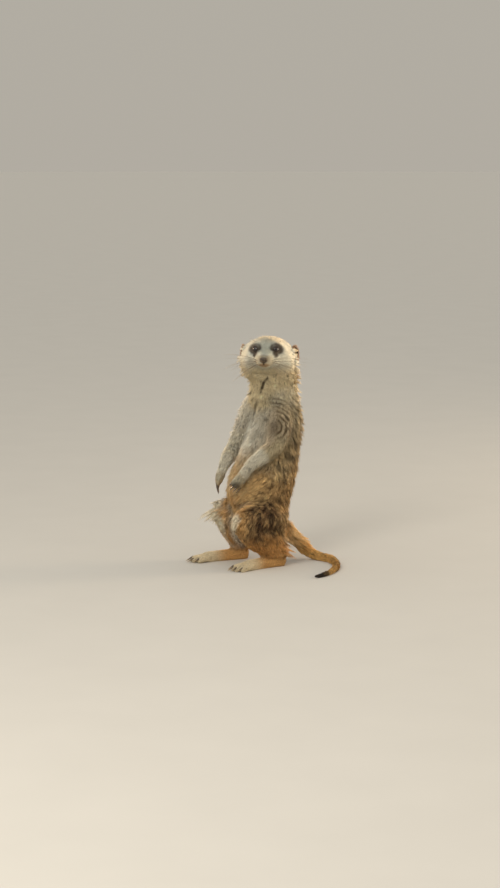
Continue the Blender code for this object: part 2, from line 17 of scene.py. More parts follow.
import bmesh
import bpy
import numpy as np
from bpy.types import ID, Collection, Light, Material, Mesh, Node, NodeTree, Object
from mathutils import Matrix, Vector
from mathutils.bvhtree import BVHTree
from mathutils.kdtree import KDTree

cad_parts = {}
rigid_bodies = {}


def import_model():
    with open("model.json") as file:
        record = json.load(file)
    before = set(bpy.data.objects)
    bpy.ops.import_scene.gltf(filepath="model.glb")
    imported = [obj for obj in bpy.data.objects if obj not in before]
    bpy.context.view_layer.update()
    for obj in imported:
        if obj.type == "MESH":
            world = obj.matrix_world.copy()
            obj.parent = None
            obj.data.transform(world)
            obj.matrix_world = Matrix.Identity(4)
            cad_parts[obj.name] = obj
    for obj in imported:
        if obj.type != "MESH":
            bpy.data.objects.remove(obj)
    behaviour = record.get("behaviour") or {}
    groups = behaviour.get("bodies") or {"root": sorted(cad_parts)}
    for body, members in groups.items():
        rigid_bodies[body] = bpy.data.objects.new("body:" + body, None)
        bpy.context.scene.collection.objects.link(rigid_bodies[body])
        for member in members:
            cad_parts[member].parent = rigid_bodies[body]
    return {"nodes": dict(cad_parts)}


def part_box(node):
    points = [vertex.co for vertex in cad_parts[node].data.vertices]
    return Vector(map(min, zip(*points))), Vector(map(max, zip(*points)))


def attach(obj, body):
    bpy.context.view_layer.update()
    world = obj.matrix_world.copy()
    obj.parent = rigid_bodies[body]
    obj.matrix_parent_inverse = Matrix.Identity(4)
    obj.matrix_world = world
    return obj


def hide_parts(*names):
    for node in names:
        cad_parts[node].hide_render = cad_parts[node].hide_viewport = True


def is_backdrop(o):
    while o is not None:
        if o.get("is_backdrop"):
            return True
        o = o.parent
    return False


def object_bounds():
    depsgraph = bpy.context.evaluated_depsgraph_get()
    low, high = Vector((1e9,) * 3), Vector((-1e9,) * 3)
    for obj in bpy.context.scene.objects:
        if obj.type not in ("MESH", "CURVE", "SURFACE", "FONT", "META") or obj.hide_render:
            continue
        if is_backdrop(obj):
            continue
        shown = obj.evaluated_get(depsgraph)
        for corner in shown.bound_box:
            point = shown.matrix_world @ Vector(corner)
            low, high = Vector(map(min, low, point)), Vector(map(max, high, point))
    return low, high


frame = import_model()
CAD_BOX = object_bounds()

Array = np.ndarray
LOG = logging.getLogger("meerkat")
UP = np.array((0.0, 0.0, 1.0))
SIDES = {"left": 1, "right": -1}
CLEAR = 0.05  # mm that the hair and the claws keep over the floor

# The middle of the head, and the places on it, forward, to the left and up from there.
HEAD_AT = np.array((13.7, -0.3, 245.0))
EYE_AT = np.array((15.2, 9.9, 3.4))
EYE_RADIUS = 4.7
NOSE_AT = np.array((38.2, 0.0, -7.0))
NOSE_RADII = np.array((2.9, 4.7, 3.5))
EAR_AT = np.array((-12.0, 28.8, -4.0))
EAR_RADII = np.array((6.2, 3.7, 7.8))
EAR_TURNS = (math.radians(12), math.radians(-20), math.radians(-12))  # tuck, flare, lean

# The middle and the reach of the cap of short banded hair over the joint of the arm.
SHOULDER = ((29, 4, 166), (26, 27, 29))

# The middle lines of the body: places along each, from the body outwards.
TRUNK_LINE = (
    (0, 5, 13), (0, 2, 34), (0, 0, 50), (0, -3, 74), (0, 0, 97), (0, 8, 122), (0, 16, 148),
    (0, 18, 165), (0.5, 16, 185), (3, 13.5, 203), (7.5, 10, 218), (11, 4.8, 236),
)
ARM_LINES = {
    "left": ((20, 13, 176), (28, 7.5, 155), (34.5, -3, 138), (32.5, -18, 127.5), (28.5, -30.5, 118),
             (23, -38, 105), (19, -44, 94)),
    "right": ((-19, -1, 181), (-28, -5, 158), (-37, -13, 131), (-34, -26, 117), (-29.5, -35, 108),
              (-27, -40, 100), (-26, -44, 87)),
}
LEG_LINES = {
    "left": ((15, 8, 48), (27, -12, 54), (33, -41, 52), (31, -24, 36), (29, -6, 24), (28, 5, 13)),
    "right": ((-15, 8, 49), (-28, -12, 56), (-36, -30, 57), (-34, -25, 40), (-31, -17, 25),
              (-30, -12, 13)),
}
FOOT_LINES = {
    "left": ((28, 12, 6), (29.5, -9, 5.6), (31.5, -25.5, 4.8), (33, -52, 3.5)),
    "right": ((-30, -5, 6), (-31.5, -26, 5.6), (-34, -43, 4.8), (-36, -70, 3.5)),
}
TAIL_LINE = (
    (0, 18, 43), (1.5, 32, 34.5), (4.5, 44, 22), (10, 54.5, 11), (20, 64, 5), (36, 69, 4.4),
    (54, 66, 4), (72, 57, 3.8), (88, 45, 3.5), (101, 30, 3.1), (109, 14, 2.6), (112, -1, 1.8),
)


# ---------------- small tools


def linear(code: str) -> Array:
    """Turns an sRGB hex colour to linear light.

    Args:
        code: the colour, such as "#c0a070".

    Returns:
        Red, green and blue from 0 to 1.
    """
    channels = np.array([int(code[i : i + 2], 16) for i in (1, 3, 5)]) / 255.0
    return np.where(channels <= 0.04045, channels / 12.92, ((channels + 0.055) / 1.055) ** 2.4)


def rgba(code: str) -> tuple[float, ...]:
    """An sRGB hex colour as a shader socket takes it."""
    return (*linear(code), 1.0)


def unit(vectors: Array) -> Array:
    """The vectors at length one."""
    length = np.linalg.norm(vectors, axis=-1, keepdims=True)
    return vectors / np.maximum(length, 1e-9)


def norm(vectors: Array) -> Array:
    """The length of each vector."""
    return np.linalg.norm(vectors, axis=-1)


def fold(points: Array, axis: int) -> Array:
    """The points with the right side folded onto the left, where axis runs to the left."""
    folded = points.copy()
    folded[:, axis] = np.abs(folded[:, axis])
    return folded


def share_along(points: Array, start: Array, step: Array, low: float = 0.0) -> Array:
    """How far points lie along a step from its start, as a share of it from low to 1."""
    return np.clip((points - start) @ step / (step @ step), low, 1)


def ramp(values: Array, low: float, high: float) -> Array:
    """An eased step from 0 at low to 1 at high."""
    share = np.clip((values - low) / (high - low), 0.0, 1.0)
    return share * share * (3 - 2 * share)


def mix(first: Array, second: Array, share: Array) -> Array:
    """Blends rows of two arrays, or rows and one row, by a share for each."""
    return first + (second - first) * share[:, None]


def noise(points: Array, size: float, seed: int = 0) -> Array:
    """Smooth random values from -1 to 1 that are the same on each run.

    Args:
        points: places, one in each row.
        size: how far apart the random values are set.
        seed: which set of values.

    Returns:
        One value for each place.
    """
    cell = np.floor(points / size)
    part = points / size - cell
    part = part * part * (3 - 2 * part)
    cell = cell.astype(np.int64)
    total = np.zeros(len(points))
    for corner in itertools.product((0, 1), repeat=3):
        at = cell + np.array(corner)
        code = (at[:, 0] * 73856093) ^ (at[:, 1] * 19349663) ^ (at[:, 2] * 83492791) ^ (seed * 40503001)
        code = (code ^ (code >> 13)) * 1274126177
        code = (code ^ (code >> 16)) & 0xFFFF
        total += (code / 32767.5 - 1) * np.prod(np.where(corner, part, 1 - part), axis=1)
    return total


def waves(along: Array, length: float) -> Array:
    """Even waves from 0 to 1, so many millimetres from crest to crest."""
    return 0.5 + 0.5 * np.sin(along * 2 * math.pi / length)


def spot(points: Array, centre: tuple, radii: tuple, soft: float = 0.35) -> Array:
    """A soft-edged patch.

    Args:
        points: places, one in each row.
        centre: the middle of the patch.
        radii: its reach along each axis.
        soft: how much of its reach is edge.

    Returns:
        1 inside the patch and 0 outside.
    """
    away = norm((points - np.array(centre)) / np.array(radii))
    return 1 - ramp(away, 1 - soft, 1 + soft)


def ring_faces(rings: int, sides: int, start: int = 0, flip: bool = False, closed: bool = False) -> list:
    """The faces between rings of points.

    Args:
        rings: how many rings there are.
        sides: how many points each has.
        start: the number of the first point.
        flip: whether the faces look the other way.
        closed: whether the last ring meets the first.

    Returns:
        The faces, as lists of point numbers.
    """
    faces = []
    for i, k in itertools.product(range(rings if closed else rings - 1), range(sides)):
        here, there = start + i * sides, start + (i + 1) % rings * sides
        beside = (k + 1) % sides
        face = [here + k, here + beside, there + beside, there + k]
        faces.append([face[0], *face[:0:-1]] if flip else face)
    return faces


def fan(middle: int, start: int, sides: int, flip: bool = False) -> list:
    """The faces between a middle point and the ring of points from a start, or their backs."""
    pairs = [(start + k, start + (k + 1) % sides) for k in range(sides)]
    return [[middle, *(pair[::-1] if flip else pair)] for pair in pairs]


def sweep(path: Array, widths: Array, heights: Array, across: Array, sides: int) -> tuple[Array, list]:
    """A closed tapered form along a path.

    Args:
        path: its middle line.
        widths: half its size along across, at each place.
        heights: half its size the other way, at each place.
        across: the direction of its width.
        sides: how many faces go round it.

    Returns:
        Its points, and its faces as lists of point numbers.
    """
    along = unit(np.gradient(path, axis=0))
    over = unit(np.cross(along, across))
    wide = np.cross(over, along)
    turns = np.linspace(0, 2 * math.pi, sides, endpoint=False)
    rings = (path[:, None] + wide[:, None] * (widths[:, None] * np.cos(turns))[..., None]
             + over[:, None] * (heights[:, None] * np.sin(turns))[..., None])
    caps = [list(range(sides))[::-1]], [list(range((len(path) - 1) * sides, len(path) * sides))]
    return rings.reshape(-1, 3), caps[0] + ring_faces(len(path), sides) + caps[1]


def gather(parts: list) -> tuple[Array, list]:
    """Joins several forms, each its points and faces, into one."""
    points, faces, start = [], [], 0
    for form, its_faces in parts:
        points.append(form)
        faces += [[start + i for i in face] for face in its_faces]
        start += len(form)
    return np.concatenate(points), faces


# ---------------- the maker's frame


def put(name: str, data: ID) -> Object:
    """Puts a mesh, light or camera in the scene."""
    made = bpy.data.objects.new(name, data)
    bpy.context.scene.collection.objects.link(made)
    return made


@dataclass(frozen=True)
class Figure:
    """The maker's frame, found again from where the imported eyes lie."""

    origin: Array
    forward: Array
    side: Array

    @classmethod
    def from_solids(cls) -> "Figure":
        """Works the frame out from the two eye solids.

        Returns:
            The frame.
        """
        left, right = (np.array(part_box(f"eye_{word}")).mean(axis=0) * 1000 for word in SIDES)
        side = unit(left - right)
        forward = np.cross(side, UP)
        middle = (left + right) / 2 - forward * EYE_AT[0] - UP * EYE_AT[2]
        return cls(middle - HEAD_AT, forward, side)

    def metres(self, points: Array) -> Array:
        """Maker's millimetres as metres in the row's frame."""
        return (np.asarray(points) + self.origin) / 1000

    def millimetres(self, points: Array) -> Array:
        """Metres in the row's frame as maker's millimetres."""
        return np.asarray(points) * 1000 - self.origin

    def middle_of(self, node: str) -> Array:
        """The middle of a solid's box."""
        return self.millimetres(np.array(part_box(node)).mean(axis=0))

    def corners_of(self, node: str) -> Array:
        """The points of a solid."""
        return self.millimetres(np.array([v.co[:] for v in frame["nodes"][node].data.vertices]))

    def to_head(self, points: Array) -> Array:
        """Places as forward, left and up from the middle of the head."""
        return self.turn_to_head(points - HEAD_AT)

    def turn_to_head(self, vectors: Array) -> Array:
        """Directions as forward, left and up on the head."""
        return np.stack([vectors @ self.forward, vectors @ self.side, vectors @ UP], axis=-1)

    def turn_from_head(self, vectors: Array) -> Array:
        """Directions on the head as directions in the maker's frame."""
        vectors = np.asarray(vectors, float)
        return vectors[..., :1] * self.forward + vectors[..., 1:2] * self.side + vectors[..., 2:] * UP

    def from_head(self, places: Array) -> Array:
        """Places on the head as places in the maker's frame."""
        return HEAD_AT + self.turn_from_head(places)

    def make(self, name: str, points: Array, faces: Array | list, material: Material) -> Object:
        """Makes a smooth-shaded mesh object.

        Args:
            name: the piece's name.
            points: its points, in maker's millimetres.
            faces: a table of triangles, or a list of lists of point numbers.
            material: its finish.

        Returns:
            The object, in the row's frame.
        """
        mesh = bpy.data.meshes.new(name)
        if isinstance(faces, list):
            mesh.from_pydata(self.metres(points).tolist(), [], faces)
            mesh.update()
        else:
            mesh.vertices.add(len(points))
            mesh.vertices.foreach_set("co", self.metres(points).ravel().astype(np.float32))
            mesh.loops.add(faces.size)
            mesh.loops.foreach_set("vertex_index", faces.ravel().astype(np.int32))
            mesh.polygons.add(len(faces))
            starts = np.arange(len(faces), dtype=np.int32) * faces.shape[1]
            mesh.polygons.foreach_set("loop_start", starts)
            mesh.update(calc_edges=True)
        mesh.polygons.foreach_set("use_smooth", np.ones(len(mesh.polygons), bool))
        mesh.materials.append(material)
        return put(name, mesh)


def store_colours(piece: Object, name: str, colours: Array) -> None:
    """Keeps a colour for each point of a piece, for its finish to read.

    Args:
        piece: the piece.
        name: what the finish calls the colours.
        colours: linear colours, one in each row.
    """
    layer = piece.data.color_attributes.new(name=name, type="FLOAT_COLOR", domain="POINT")
    full = np.ones((len(colours), 4), np.float32)
    full[:, :3] = colours
    layer.data.foreach_set("color", full.ravel())


def store_values(piece: Object, name: str, values: Array) -> None:
    """Keeps a number for each point of a piece, for its finish to read, as store_colours() does."""
    layer = piece.data.attributes.new(name=name, type="FLOAT", domain="POINT")
    layer.data.foreach_set("value", np.asarray(values, np.float32))


def set_in_place(piece: Object, slot: str, *nodes: str) -> Object:
    """Rides a piece on the body, and hides the solids that it stands for.

    Args:
        piece: the piece.
        slot: not used.
        nodes: the solids that the piece replaces.

    Returns:
        The same piece.
    """
    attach(piece, "root")
    if nodes:
        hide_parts(*nodes)
    LOG.info("%s: %d faces", piece.name, len(piece.data.polygons))
    return piece


class Line:
    """A middle line of the body, to measure along and round."""

    def __init__(self, places: tuple, ahead: tuple = (1, 0, 0)) -> None:
        """Keeps the line's places and the direction that its turn is measured from."""
        self.places = np.array(places, float)
        self.ahead = np.array(ahead, float)
        self.ways = unit(np.gradient(self.places, axis=0))

    def measure(self, points: Array) -> tuple[Array, Array, Array]:
        """Finds where points lie beside the line.

        Args:
            points: places, one in each row.

        Returns:
            How far along each is from 0 to 1, its turn round the line from 0 to 1, and the
            line's direction there.
        """
        best = np.full(len(points), np.inf)
        along = np.zeros(len(points))
        near = np.zeros_like(points)
        way = np.zeros_like(points)
        count = len(self.places) - 1
        for i in range(count):
            start, step = self.places[i], self.places[i + 1] - self.places[i]
            share = share_along(points, start, step)
            foot = start + share[:, None] * step
            away = norm(points - foot)
            closer = away < best
            best[closer] = away[closer]
            along[closer] = (i + share[closer]) / count
            near[closer] = foot[closer]
            way[closer] = mix(self.ways[i][None], self.ways[i + 1][None], share[closer])
        way = unit(way)
        first = unit(self.ahead - way * (way @ self.ahead)[:, None])
        second = np.cross(way, first)
        out = points - near
        turn = np.arctan2((out * second).sum(1), (out * first).sum(1)) / (2 * math.pi) % 1.0
        return along, turn, way


TAIL = Line(TAIL_LINE, (0, 0.6, 1))


# ---------------- finishes


def add_node(tree: NodeTree, kind: str, sockets: dict | None = None, **settings: object) -> Node:
    """Adds a node with its settings and links.

    Args:
        tree: the node tree.
        kind: the shader node's type.
        sockets: what goes into each input, by name or number: a value, or a node and the name of
            its output to link.
        settings: the node's own settings.

    Returns:
        The new node.
    """
    made = tree.nodes.new(f"ShaderNode{kind}")
    for name, value in settings.items():
        setattr(made, name, value)
    for key, value in (sockets or {}).items():
        if isinstance(value, tuple) and isinstance(value[0], Node):
            tree.links.new(value[0].outputs[value[1]], made.inputs[key])
        else:
            made.inputs[key].default_value = value
    return made


def start_material(name: str, **shader: object) -> tuple[Material, NodeTree, Node]:
    """Starts a material on a plain surface shader.

    Args:
        name: the finish's name.
        shader: values for the shader's inputs, with _ for a space.

    Returns:
        The material, its node tree and its shader node.
    """
    material = bpy.data.materials.new(name)
    material.use_nodes = True
    tree = material.node_tree
    surface = tree.nodes["Principled BSDF"]
    for key, value in shader.items():
        surface.inputs[key.replace("_", " ")].default_value = value
    return material, tree, surface


def link(surface: Node, **inputs: tuple) -> None:
    """Links nodes, each with its output's name, to the shader's inputs, named with _ for a space."""
    for key, (node, output) in inputs.items():
        surface.id_data.links.new(node.outputs[output], surface.inputs[key.replace("_", " ")])


def set_ramp(node: Node, stops: tuple) -> Node:
    """Sets a colour ramp's stops.

    Args:
        node: the colour ramp.
        stops: each a place from 0 to 1 and a hex colour.

    Returns:
        The same node.
    """
    band = node.color_ramp
    while len(band.elements) < len(stops):
        band.elements.new(1.0)
    for element, (place, code) in zip(band.elements, stops):
        element.position = place
        element.color = rgba(code)
    return node


@dataclass(frozen=True)
class CombedHair:
    """Meerkat guard hair: fine keratin, grown and combed flat.

    It gives the eye a dry silky gloss along the lie, bands of colour on each hair, and a soft
    bright edge where light comes from behind.
    """

    name: str = "hair_keratin_combed"
    strand: float = 0.5  # mm between one shade of hair and the next
    roughness: float = 0.58

    def material(self) -> Material:
        """Makes the finish."""
        made, tree, surface = start_material(
            self.name, Roughness=self.roughness, IOR=1.55, Sheen_Weight=0.06, Sheen_Roughness=0.4,
            Sheen_Tint=rgba("#fff0d8"), Specular_IOR_Level=0.15,
        )
        hair = add_node(tree, "Attribute", attribute_name="coat")
        place = add_node(tree, "TexCoord")
        fine = add_node(tree, "TexNoise", {
            "Vector": (place, "Object"), "Scale": 1000 / self.strand, "Detail": 1.0})
        shade = add_node(tree, "MapRange", {
            "Value": (fine, "Fac"), "From Min": 0.3, "From Max": 0.7, "To Min": 0.88, "To Max": 1.12})
        toned = add_node(tree, "HueSaturation", {
            "Color": (hair, "Color"), "Value": (shade, "Result")})
        link(surface, Base_Color=(toned, "Color"))
        return made


@dataclass(frozen=True)
class FurredHide:
    """Tanned hide under a close woolly undercoat.

    It gives the eye a soft matt ground between the locks, streaked down the body.
    """

    name: str = "hide_undercoat"
    wool: float = 0.6  # mm across one curl of undercoat
    roughness: float = 0.85

    def material(self) -> Material:
        """Makes the finish."""
        made, tree, surface = start_material(
            self.name, Roughness=self.roughness, IOR=1.5, Sheen_Weight=0.05, Specular_IOR_Level=0.1)
        hide = add_node(tree, "Attribute", attribute_name="hide")
        place = add_node(tree, "TexCoord")
        drawn = add_node(tree, "Mapping", {"Vector": (place, "Object"), "Scale": (1, 1, 0.35)})
        curls = add_node(tree, "TexNoise", {
            "Vector": (drawn, "Vector"), "Scale": 1000 / self.wool, "Detail": 3.0, "Roughness": 0.6})
        shade = add_node(tree, "MapRange", {
            "Value": (curls, "Fac"), "From Min": 0.3, "From Max": 0.7, "To Min": 0.72, "To Max": 1.15})
        toned = add_node(tree, "HueSaturation", {
            "Color": (hide, "Color"), "Value": (shade, "Result")})
        relief = add_node(tree, "Bump", {
            "Height": (curls, "Fac"), "Strength": 0.5, "Distance": 0.0004})
        link(surface, Base_Color=(toned, "Color"), Normal=(relief, "Normal"))
        return made


@dataclass(frozen=True)
class BareLeather:
    """Living nose, lid or ear leather: bare skin with a fine cobbled grain.

    It gives the eye a dark, slightly damp surface whose grain breaks up the highlight.
    """

    name: str
    dark: str
    light: str
    grain: float  # mm across one cobble
    roughness: float
    relief: float = 0.15  # mm

    def material(self) -> Material:
        """Makes the finish."""
        made, tree, surface = start_material(self.name, Roughness=self.roughness, IOR=1.4)
        place = add_node(tree, "TexCoord")
        cobbles = add_node(tree, "TexVoronoi", {
            "Vector": (place, "Object"), "Scale": 1000 / self.grain})
        cloud = add_node(tree, "TexNoise", {
            "Vector": (place, "Object"), "Scale": 1000 / (self.grain * 5), "Detail": 3.0})
        colour = set_ramp(add_node(tree, "ValToRGB", {"Fac": (cloud, "Fac")}),
                          ((0.3, self.dark), (0.75, self.light)))
        damp = add_node(tree, "MapRange", {
            "Value": (cloud, "Fac"), "To Min": self.roughness - 0.1, "To Max": self.roughness + 0.15})
        relief = add_node(tree, "Bump", {
            "Height": (cobbles, "Distance"), "Strength": 0.7, "Distance": self.relief / 1000})
        link(surface, Base_Color=(colour, "Color"), Roughness=(damp, "Result"),
             Normal=(relief, "Normal"))
        return made


@dataclass(frozen=True)
class WetEye:
    """A living eye: a brown iris with fine fibres under a clear wet cornea.

    It gives the eye a small sharp highlight over a deep warm brown and a wide dark pupil.
    """

    name: str = "eye_wet_iris"
    fibre: float = 0.5  # mm between iris fibres

    def material(self) -> Material:
        """Makes the finish."""
        made, tree, surface = start_material(
            self.name, Roughness=0.12, IOR=1.376, Coat_Weight=1.0, Coat_Roughness=0.02, Coat_IOR=1.38)
        reach = add_node(tree, "Attribute", attribute_name="reach")
        place = add_node(tree, "TexCoord")
        fibres = add_node(tree, "TexNoise", {
            "Vector": (place, "Object"), "Scale": 1000 / self.fibre, "Detail": 2.0})
        stray = add_node(tree, "Math", {0: (fibres, "Fac"), 1: 0.10}, operation="MULTIPLY")
        outer = add_node(tree, "Math", {0: (reach, "Fac"), 1: (stray, "Value")},
                         operation="ADD")
        colour = set_ramp(add_node(tree, "ValToRGB", {"Fac": (outer, "Value")}), (
            (0.0, "#050303"), (0.26, "#060403"), (0.31, "#2b1a0e"), (0.46, "#402814"),
            (0.60, "#22140b"), (0.70, "#0f0a07"), (1.0, "#191210")))
        link(surface, Base_Color=(colour, "Color"))
        return made


@dataclass(frozen=True)
class ClawHorn:
    """Claw horn: keratin laid down in lengthwise layers and worn smooth by digging.

    It gives the eye a hard dark brown, paler toward the worn tip, with fine streaks.
    """

    name: str
    root: str
    tip: str
    streak: float = 0.35  # mm between streaks

    def material(self) -> Material:
        """Makes the finish."""
        made, tree, surface = start_material(self.name, Roughness=0.34, IOR=1.54, Coat_Weight=0.2)
        reach = add_node(tree, "Attribute", attribute_name="reach")
        place = add_node(tree, "TexCoord")
        streaks = add_node(tree, "TexNoise", {
            "Vector": (place, "Object"), "Scale": 1000 / self.streak, "Detail": 2.0})
        stray = add_node(tree, "Math", {0: (streaks, "Fac"), 1: -0.5}, operation="ADD")
        uneven = add_node(tree, "Math", {
            0: (stray, "Value"), 1: 0.5, 2: (reach, "Fac")}, operation="MULTIPLY_ADD")
        colour = set_ramp(add_node(tree, "ValToRGB", {"Fac": (uneven, "Value")}),
                          ((0.1, self.root), (0.95, self.tip)))
        relief = add_node(tree, "Bump", {
            "Height": (streaks, "Fac"), "Strength": 0.3, "Distance": 0.0001})
        link(surface, Base_Color=(colour, "Color"), Normal=(relief, "Normal"))
        return made


@dataclass(frozen=True)
class Bristle:
    """Whisker bristle: stiff tapered hair.

    It gives the eye a thin dark root that fades to a pale glassy tip.
    """

    name: str = "whisker_bristle"

    def material(self) -> Material:
        """Makes the finish."""
        made, tree, surface = start_material(self.name, Roughness=0.35, IOR=1.55, Sheen_Weight=0.2)
        reach = add_node(tree, "Attribute", attribute_name="reach")
        colour = set_ramp(add_node(tree, "ValToRGB", {"Fac": (reach, "Fac")}),
                          ((0.0, "#4a3a2b"), (0.35, "#87704f"), (1.0, "#b09a78")))
        link(surface, Base_Color=(colour, "Color"))
        return made


@dataclass(frozen=True)
class SprayedBoard:
    """Studio floor: fibreboard, sprayed matt. It gives the eye a plain pale ground."""

    name: str = "floor_sprayed_board"
    colour: str = "#c9c3b7"
    clouds: float = 12.0  # clouds of shade to a metre

    def material(self) -> Material:
        """Makes the finish."""
        made, tree, surface = start_material(self.name, Roughness=0.8, Specular_IOR_Level=0.2)
        place = add_node(tree, "TexCoord")
        mottle = add_node(tree, "TexNoise", {
            "Vector": (place, "Object"), "Scale": self.clouds, "Detail": 4.0})
        shade = add_node(tree, "MapRange", {
            "Value": (mottle, "Fac"), "To Min": 0.97, "To Max": 1.03})
        toned = add_node(tree, "HueSaturation", {
            "Color": rgba(self.colour), "Value": (shade, "Result")})
        link(surface, Base_Color=(toned, "Color"))
        return made


# ---------------- how the coat grows


class Region(Enum):
    """Parts of the body, each the start of its solids' names."""

    HEAD = "head"
    NECK = "neck"
    TRUNK = "trunk"
    UPPER_ARM = "upper_arm"
    FOREARM = "forearm"
    HAND = "hand"
    THIGH = "thigh"
    SHANK = "shank"
    FOOT = "foot"
    TAIL = "tail"


@dataclass(frozen=True)
class Growth:
    """How the coat grows on one part, in millimetres: its depth over the skin, the length and
    width of a lock, how far apart clumps of locks are, and how strongly their tips draw together."""

    depth: float
    length: float
    width: float
    clump: float
    draw: float


GROWTH = {
    Region.HEAD: Growth(2.2, 5.0, 0.42, 1.8, 0.25),
    Region.NECK: Growth(3.8, 7.0, 0.48, 2.0, 0.22),
    Region.TRUNK: Growth(5.2, 11.0, 0.62, 3.2, 0.60),
    Region.UPPER_ARM: Growth(3.2, 8.0, 0.55, 2.8, 0.50),
    Region.FOREARM: Growth(1.9, 5.5, 0.45, 2.0, 0.35),
    Region.HAND: Growth(0.7, 2.4, 0.32, 1.2, 0.2),
    Region.THIGH: Growth(4.2, 10.0, 0.60, 3.6, 0.68),
    Region.SHANK: Growth(2.6, 7.0, 0.50, 2.4, 0.45),
    Region.FOOT: Growth(0.8, 2.8, 0.34, 1.2, 0.2),
    Region.TAIL: Growth(1.7, 6.5, 0.42, 2.2, 0.35),
}
REGIONS = list(Region)


@dataclass(frozen=True)
class Fringe:
    """A place where the hair stands out in points: where it is and how far it reaches each way,
    how far its points stand out and how much longer they are, which way they are flung and how
    far, how much deeper the skin lies under them, and how far apart they are, in millimetres."""

    at: tuple
    radii: tuple
    stand: float
    length: float = 0.0
    fling: tuple = (0.0, 0.0, 0.0)
    sink: float = 0.0
    clump: float = 3.2


FRINGES = (
    Fringe((-36, -41, 67), (15, 15, 11), 2.0, 4.0, (-8.0, -13.0, 1.2), 2.5),  # far knee
    Fringe((-38, -38, 56), (9, 9, 9), 2.0, 2.0, (-3.0, -4.5, -2.0), 1.0),  # below it
    Fringe((32, -48, 60), (9, 9, 9), 2.0, 1.5),  # near knee
    Fringe((-32, -8, 158), (14, 18, 36), 4.5),  # far shoulder and upper arm
    Fringe((-9, -20, 232), (10, 10, 26), 4.0, 0.5, (-1.6, -2.8, 0.0)),  # far cheek
    Fringe((28, 27, 228), (10, 10, 22), 3.6, 0.5, (1.4, 2.6, 0.0)),  # behind the near cheek
    Fringe((18, 35, 200), (12, 12, 36), 4.0, 0.0, (1.2, 2.4, 0.0)),  # nape
    Fringe((13, 43, 160), (14, 12, 34), 3.2),  # the edge of the back
    Fringe((-8, -16, 200), (10, 10, 14), 2.6, 0.0, (-0.8, -1.6, 0.0)),  # far side of the neck
    Fringe((27, 14, 27), (12, 12, 14), 2.5, 3.0, (7.0, 14.0, -6.0)),  # the brush behind the knee
    Fringe((12, 30, 27), (11, 12, 12), 2.5, 3.0, (6.0, 11.0, -5.0)),  # the brush under the tail
    Fringe((6, 46, 24), (8, 10, 10), 2.4, 2.0, (2.5, 4.5, -2.0)),  # the root of the tail
)


# ---------------- markings


class Folds:
    """Creases of loose skin at the throat and chest, which part the hair; shade is painted dark along them.
    """

    LINES = (
        ((27, -8, 215), (22, -11, 209), (17, -11, 202), (14, -10, 198)),
        ((8, -12, 187), (2, -12, 178), (-2, -12, 170), (-5, -13, 160), (-6, -14, 150)),
    )

    def __init__(self) -> None:
        """Keeps the creases as measured lines."""
        self.lines = [Line(line) for line in self.LINES]

    def near(self, points: Array, normals: Array, reach: float) -> Array:
        """Finds how close points are to a crease, measured along the skin.

        Args:
            points: places, one in each row.
            normals: which way the surface faces there.
            reach: how far a crease reaches to each side, in millimetres.

        Returns:
            1 up to half the reach, falling to 0 at twice the reach.
        """
        best = np.full(len(points), np.inf)
        for line in self.lines:
            for start, end in zip(line.places, line.places[1:]):
                step = end - start
                gap = points - start - share_along(points, start, step)[:, None] * step
                deep = np.clip((gap * normals).sum(1), -8, 8)
                best = np.minimum(best, norm(gap - normals * deep[:, None]))
        return 1 - ramp(best, reach * 0.5, reach * 2)


FOLDS = Folds()


class Canvas:
    """Part of the coat while it is coloured: where its points lie, and what they have so far."""

    def __init__(self, points: Array, normals: Array, weights: Array) -> None:
        """Works out where each point lies and which way it faces.

        Args:
            points: places in the maker's frame.
            normals: which way the surface faces there.
            weights: the share of each region there.
        """
        self.points, self.normals = points, normals
        self.mirrored = fold(points, 0)
        self.x, self.y, self.z = self.mirrored.T
        self.part = dict(zip(REGIONS, weights.T))
        self.soft = noise(points, 9, 1) * 0.5 + noise(points, 3.5, 2) * 0.5
        self.front = ramp(-normals[:, 1] + self.soft * 0.2, -0.15, 0.55)
        self.rear = ramp(normals[:, 1] + self.soft * 0.2, -0.1, 0.5)
        self.near = ramp(points[:, 0] + self.soft * 4, -14, 16)  # from the right side to the left
        flank = np.abs(normals[:, 0]) + normals[:, 1] * 0.6
        self.beside = ramp(flank + self.soft * 0.15, -0.05, 0.75)
        self.torso = self.part[Region.TRUNK] + self.part[Region.THIGH] * 0.9
        self.leg = self.part[Region.THIGH] + self.part[Region.SHANK]
        self.streaks = ramp(noise(points * (1, 1, 0.4), 3.6, 5) + noise(points * (1, 1, 0.4), 1.7, 6) * 0.6,
                            -0.25, 0.45)
        self.colour = np.zeros((len(points), 3))
        self.dark = np.full(len(points), 0.25)

    def lay(self, code: str, share: Array | float) -> None:
        """Lays a hex colour over what is there, by a share for each point."""
        self.colour = mix(self.colour, linear(code), np.broadcast_to(share, len(self.points)))

    def lighten(self, share: Array) -> None:
        """Takes away a share of the hairs with dark bands."""
        self.dark = self.dark * (1 - share)

    def spot(self, centre: tuple, radii: tuple, soft: float = 0.35) -> Array:
        """A soft-edged patch on both sides of the body, as spot() makes it."""
        return spot(self.mirrored, centre, radii, soft)


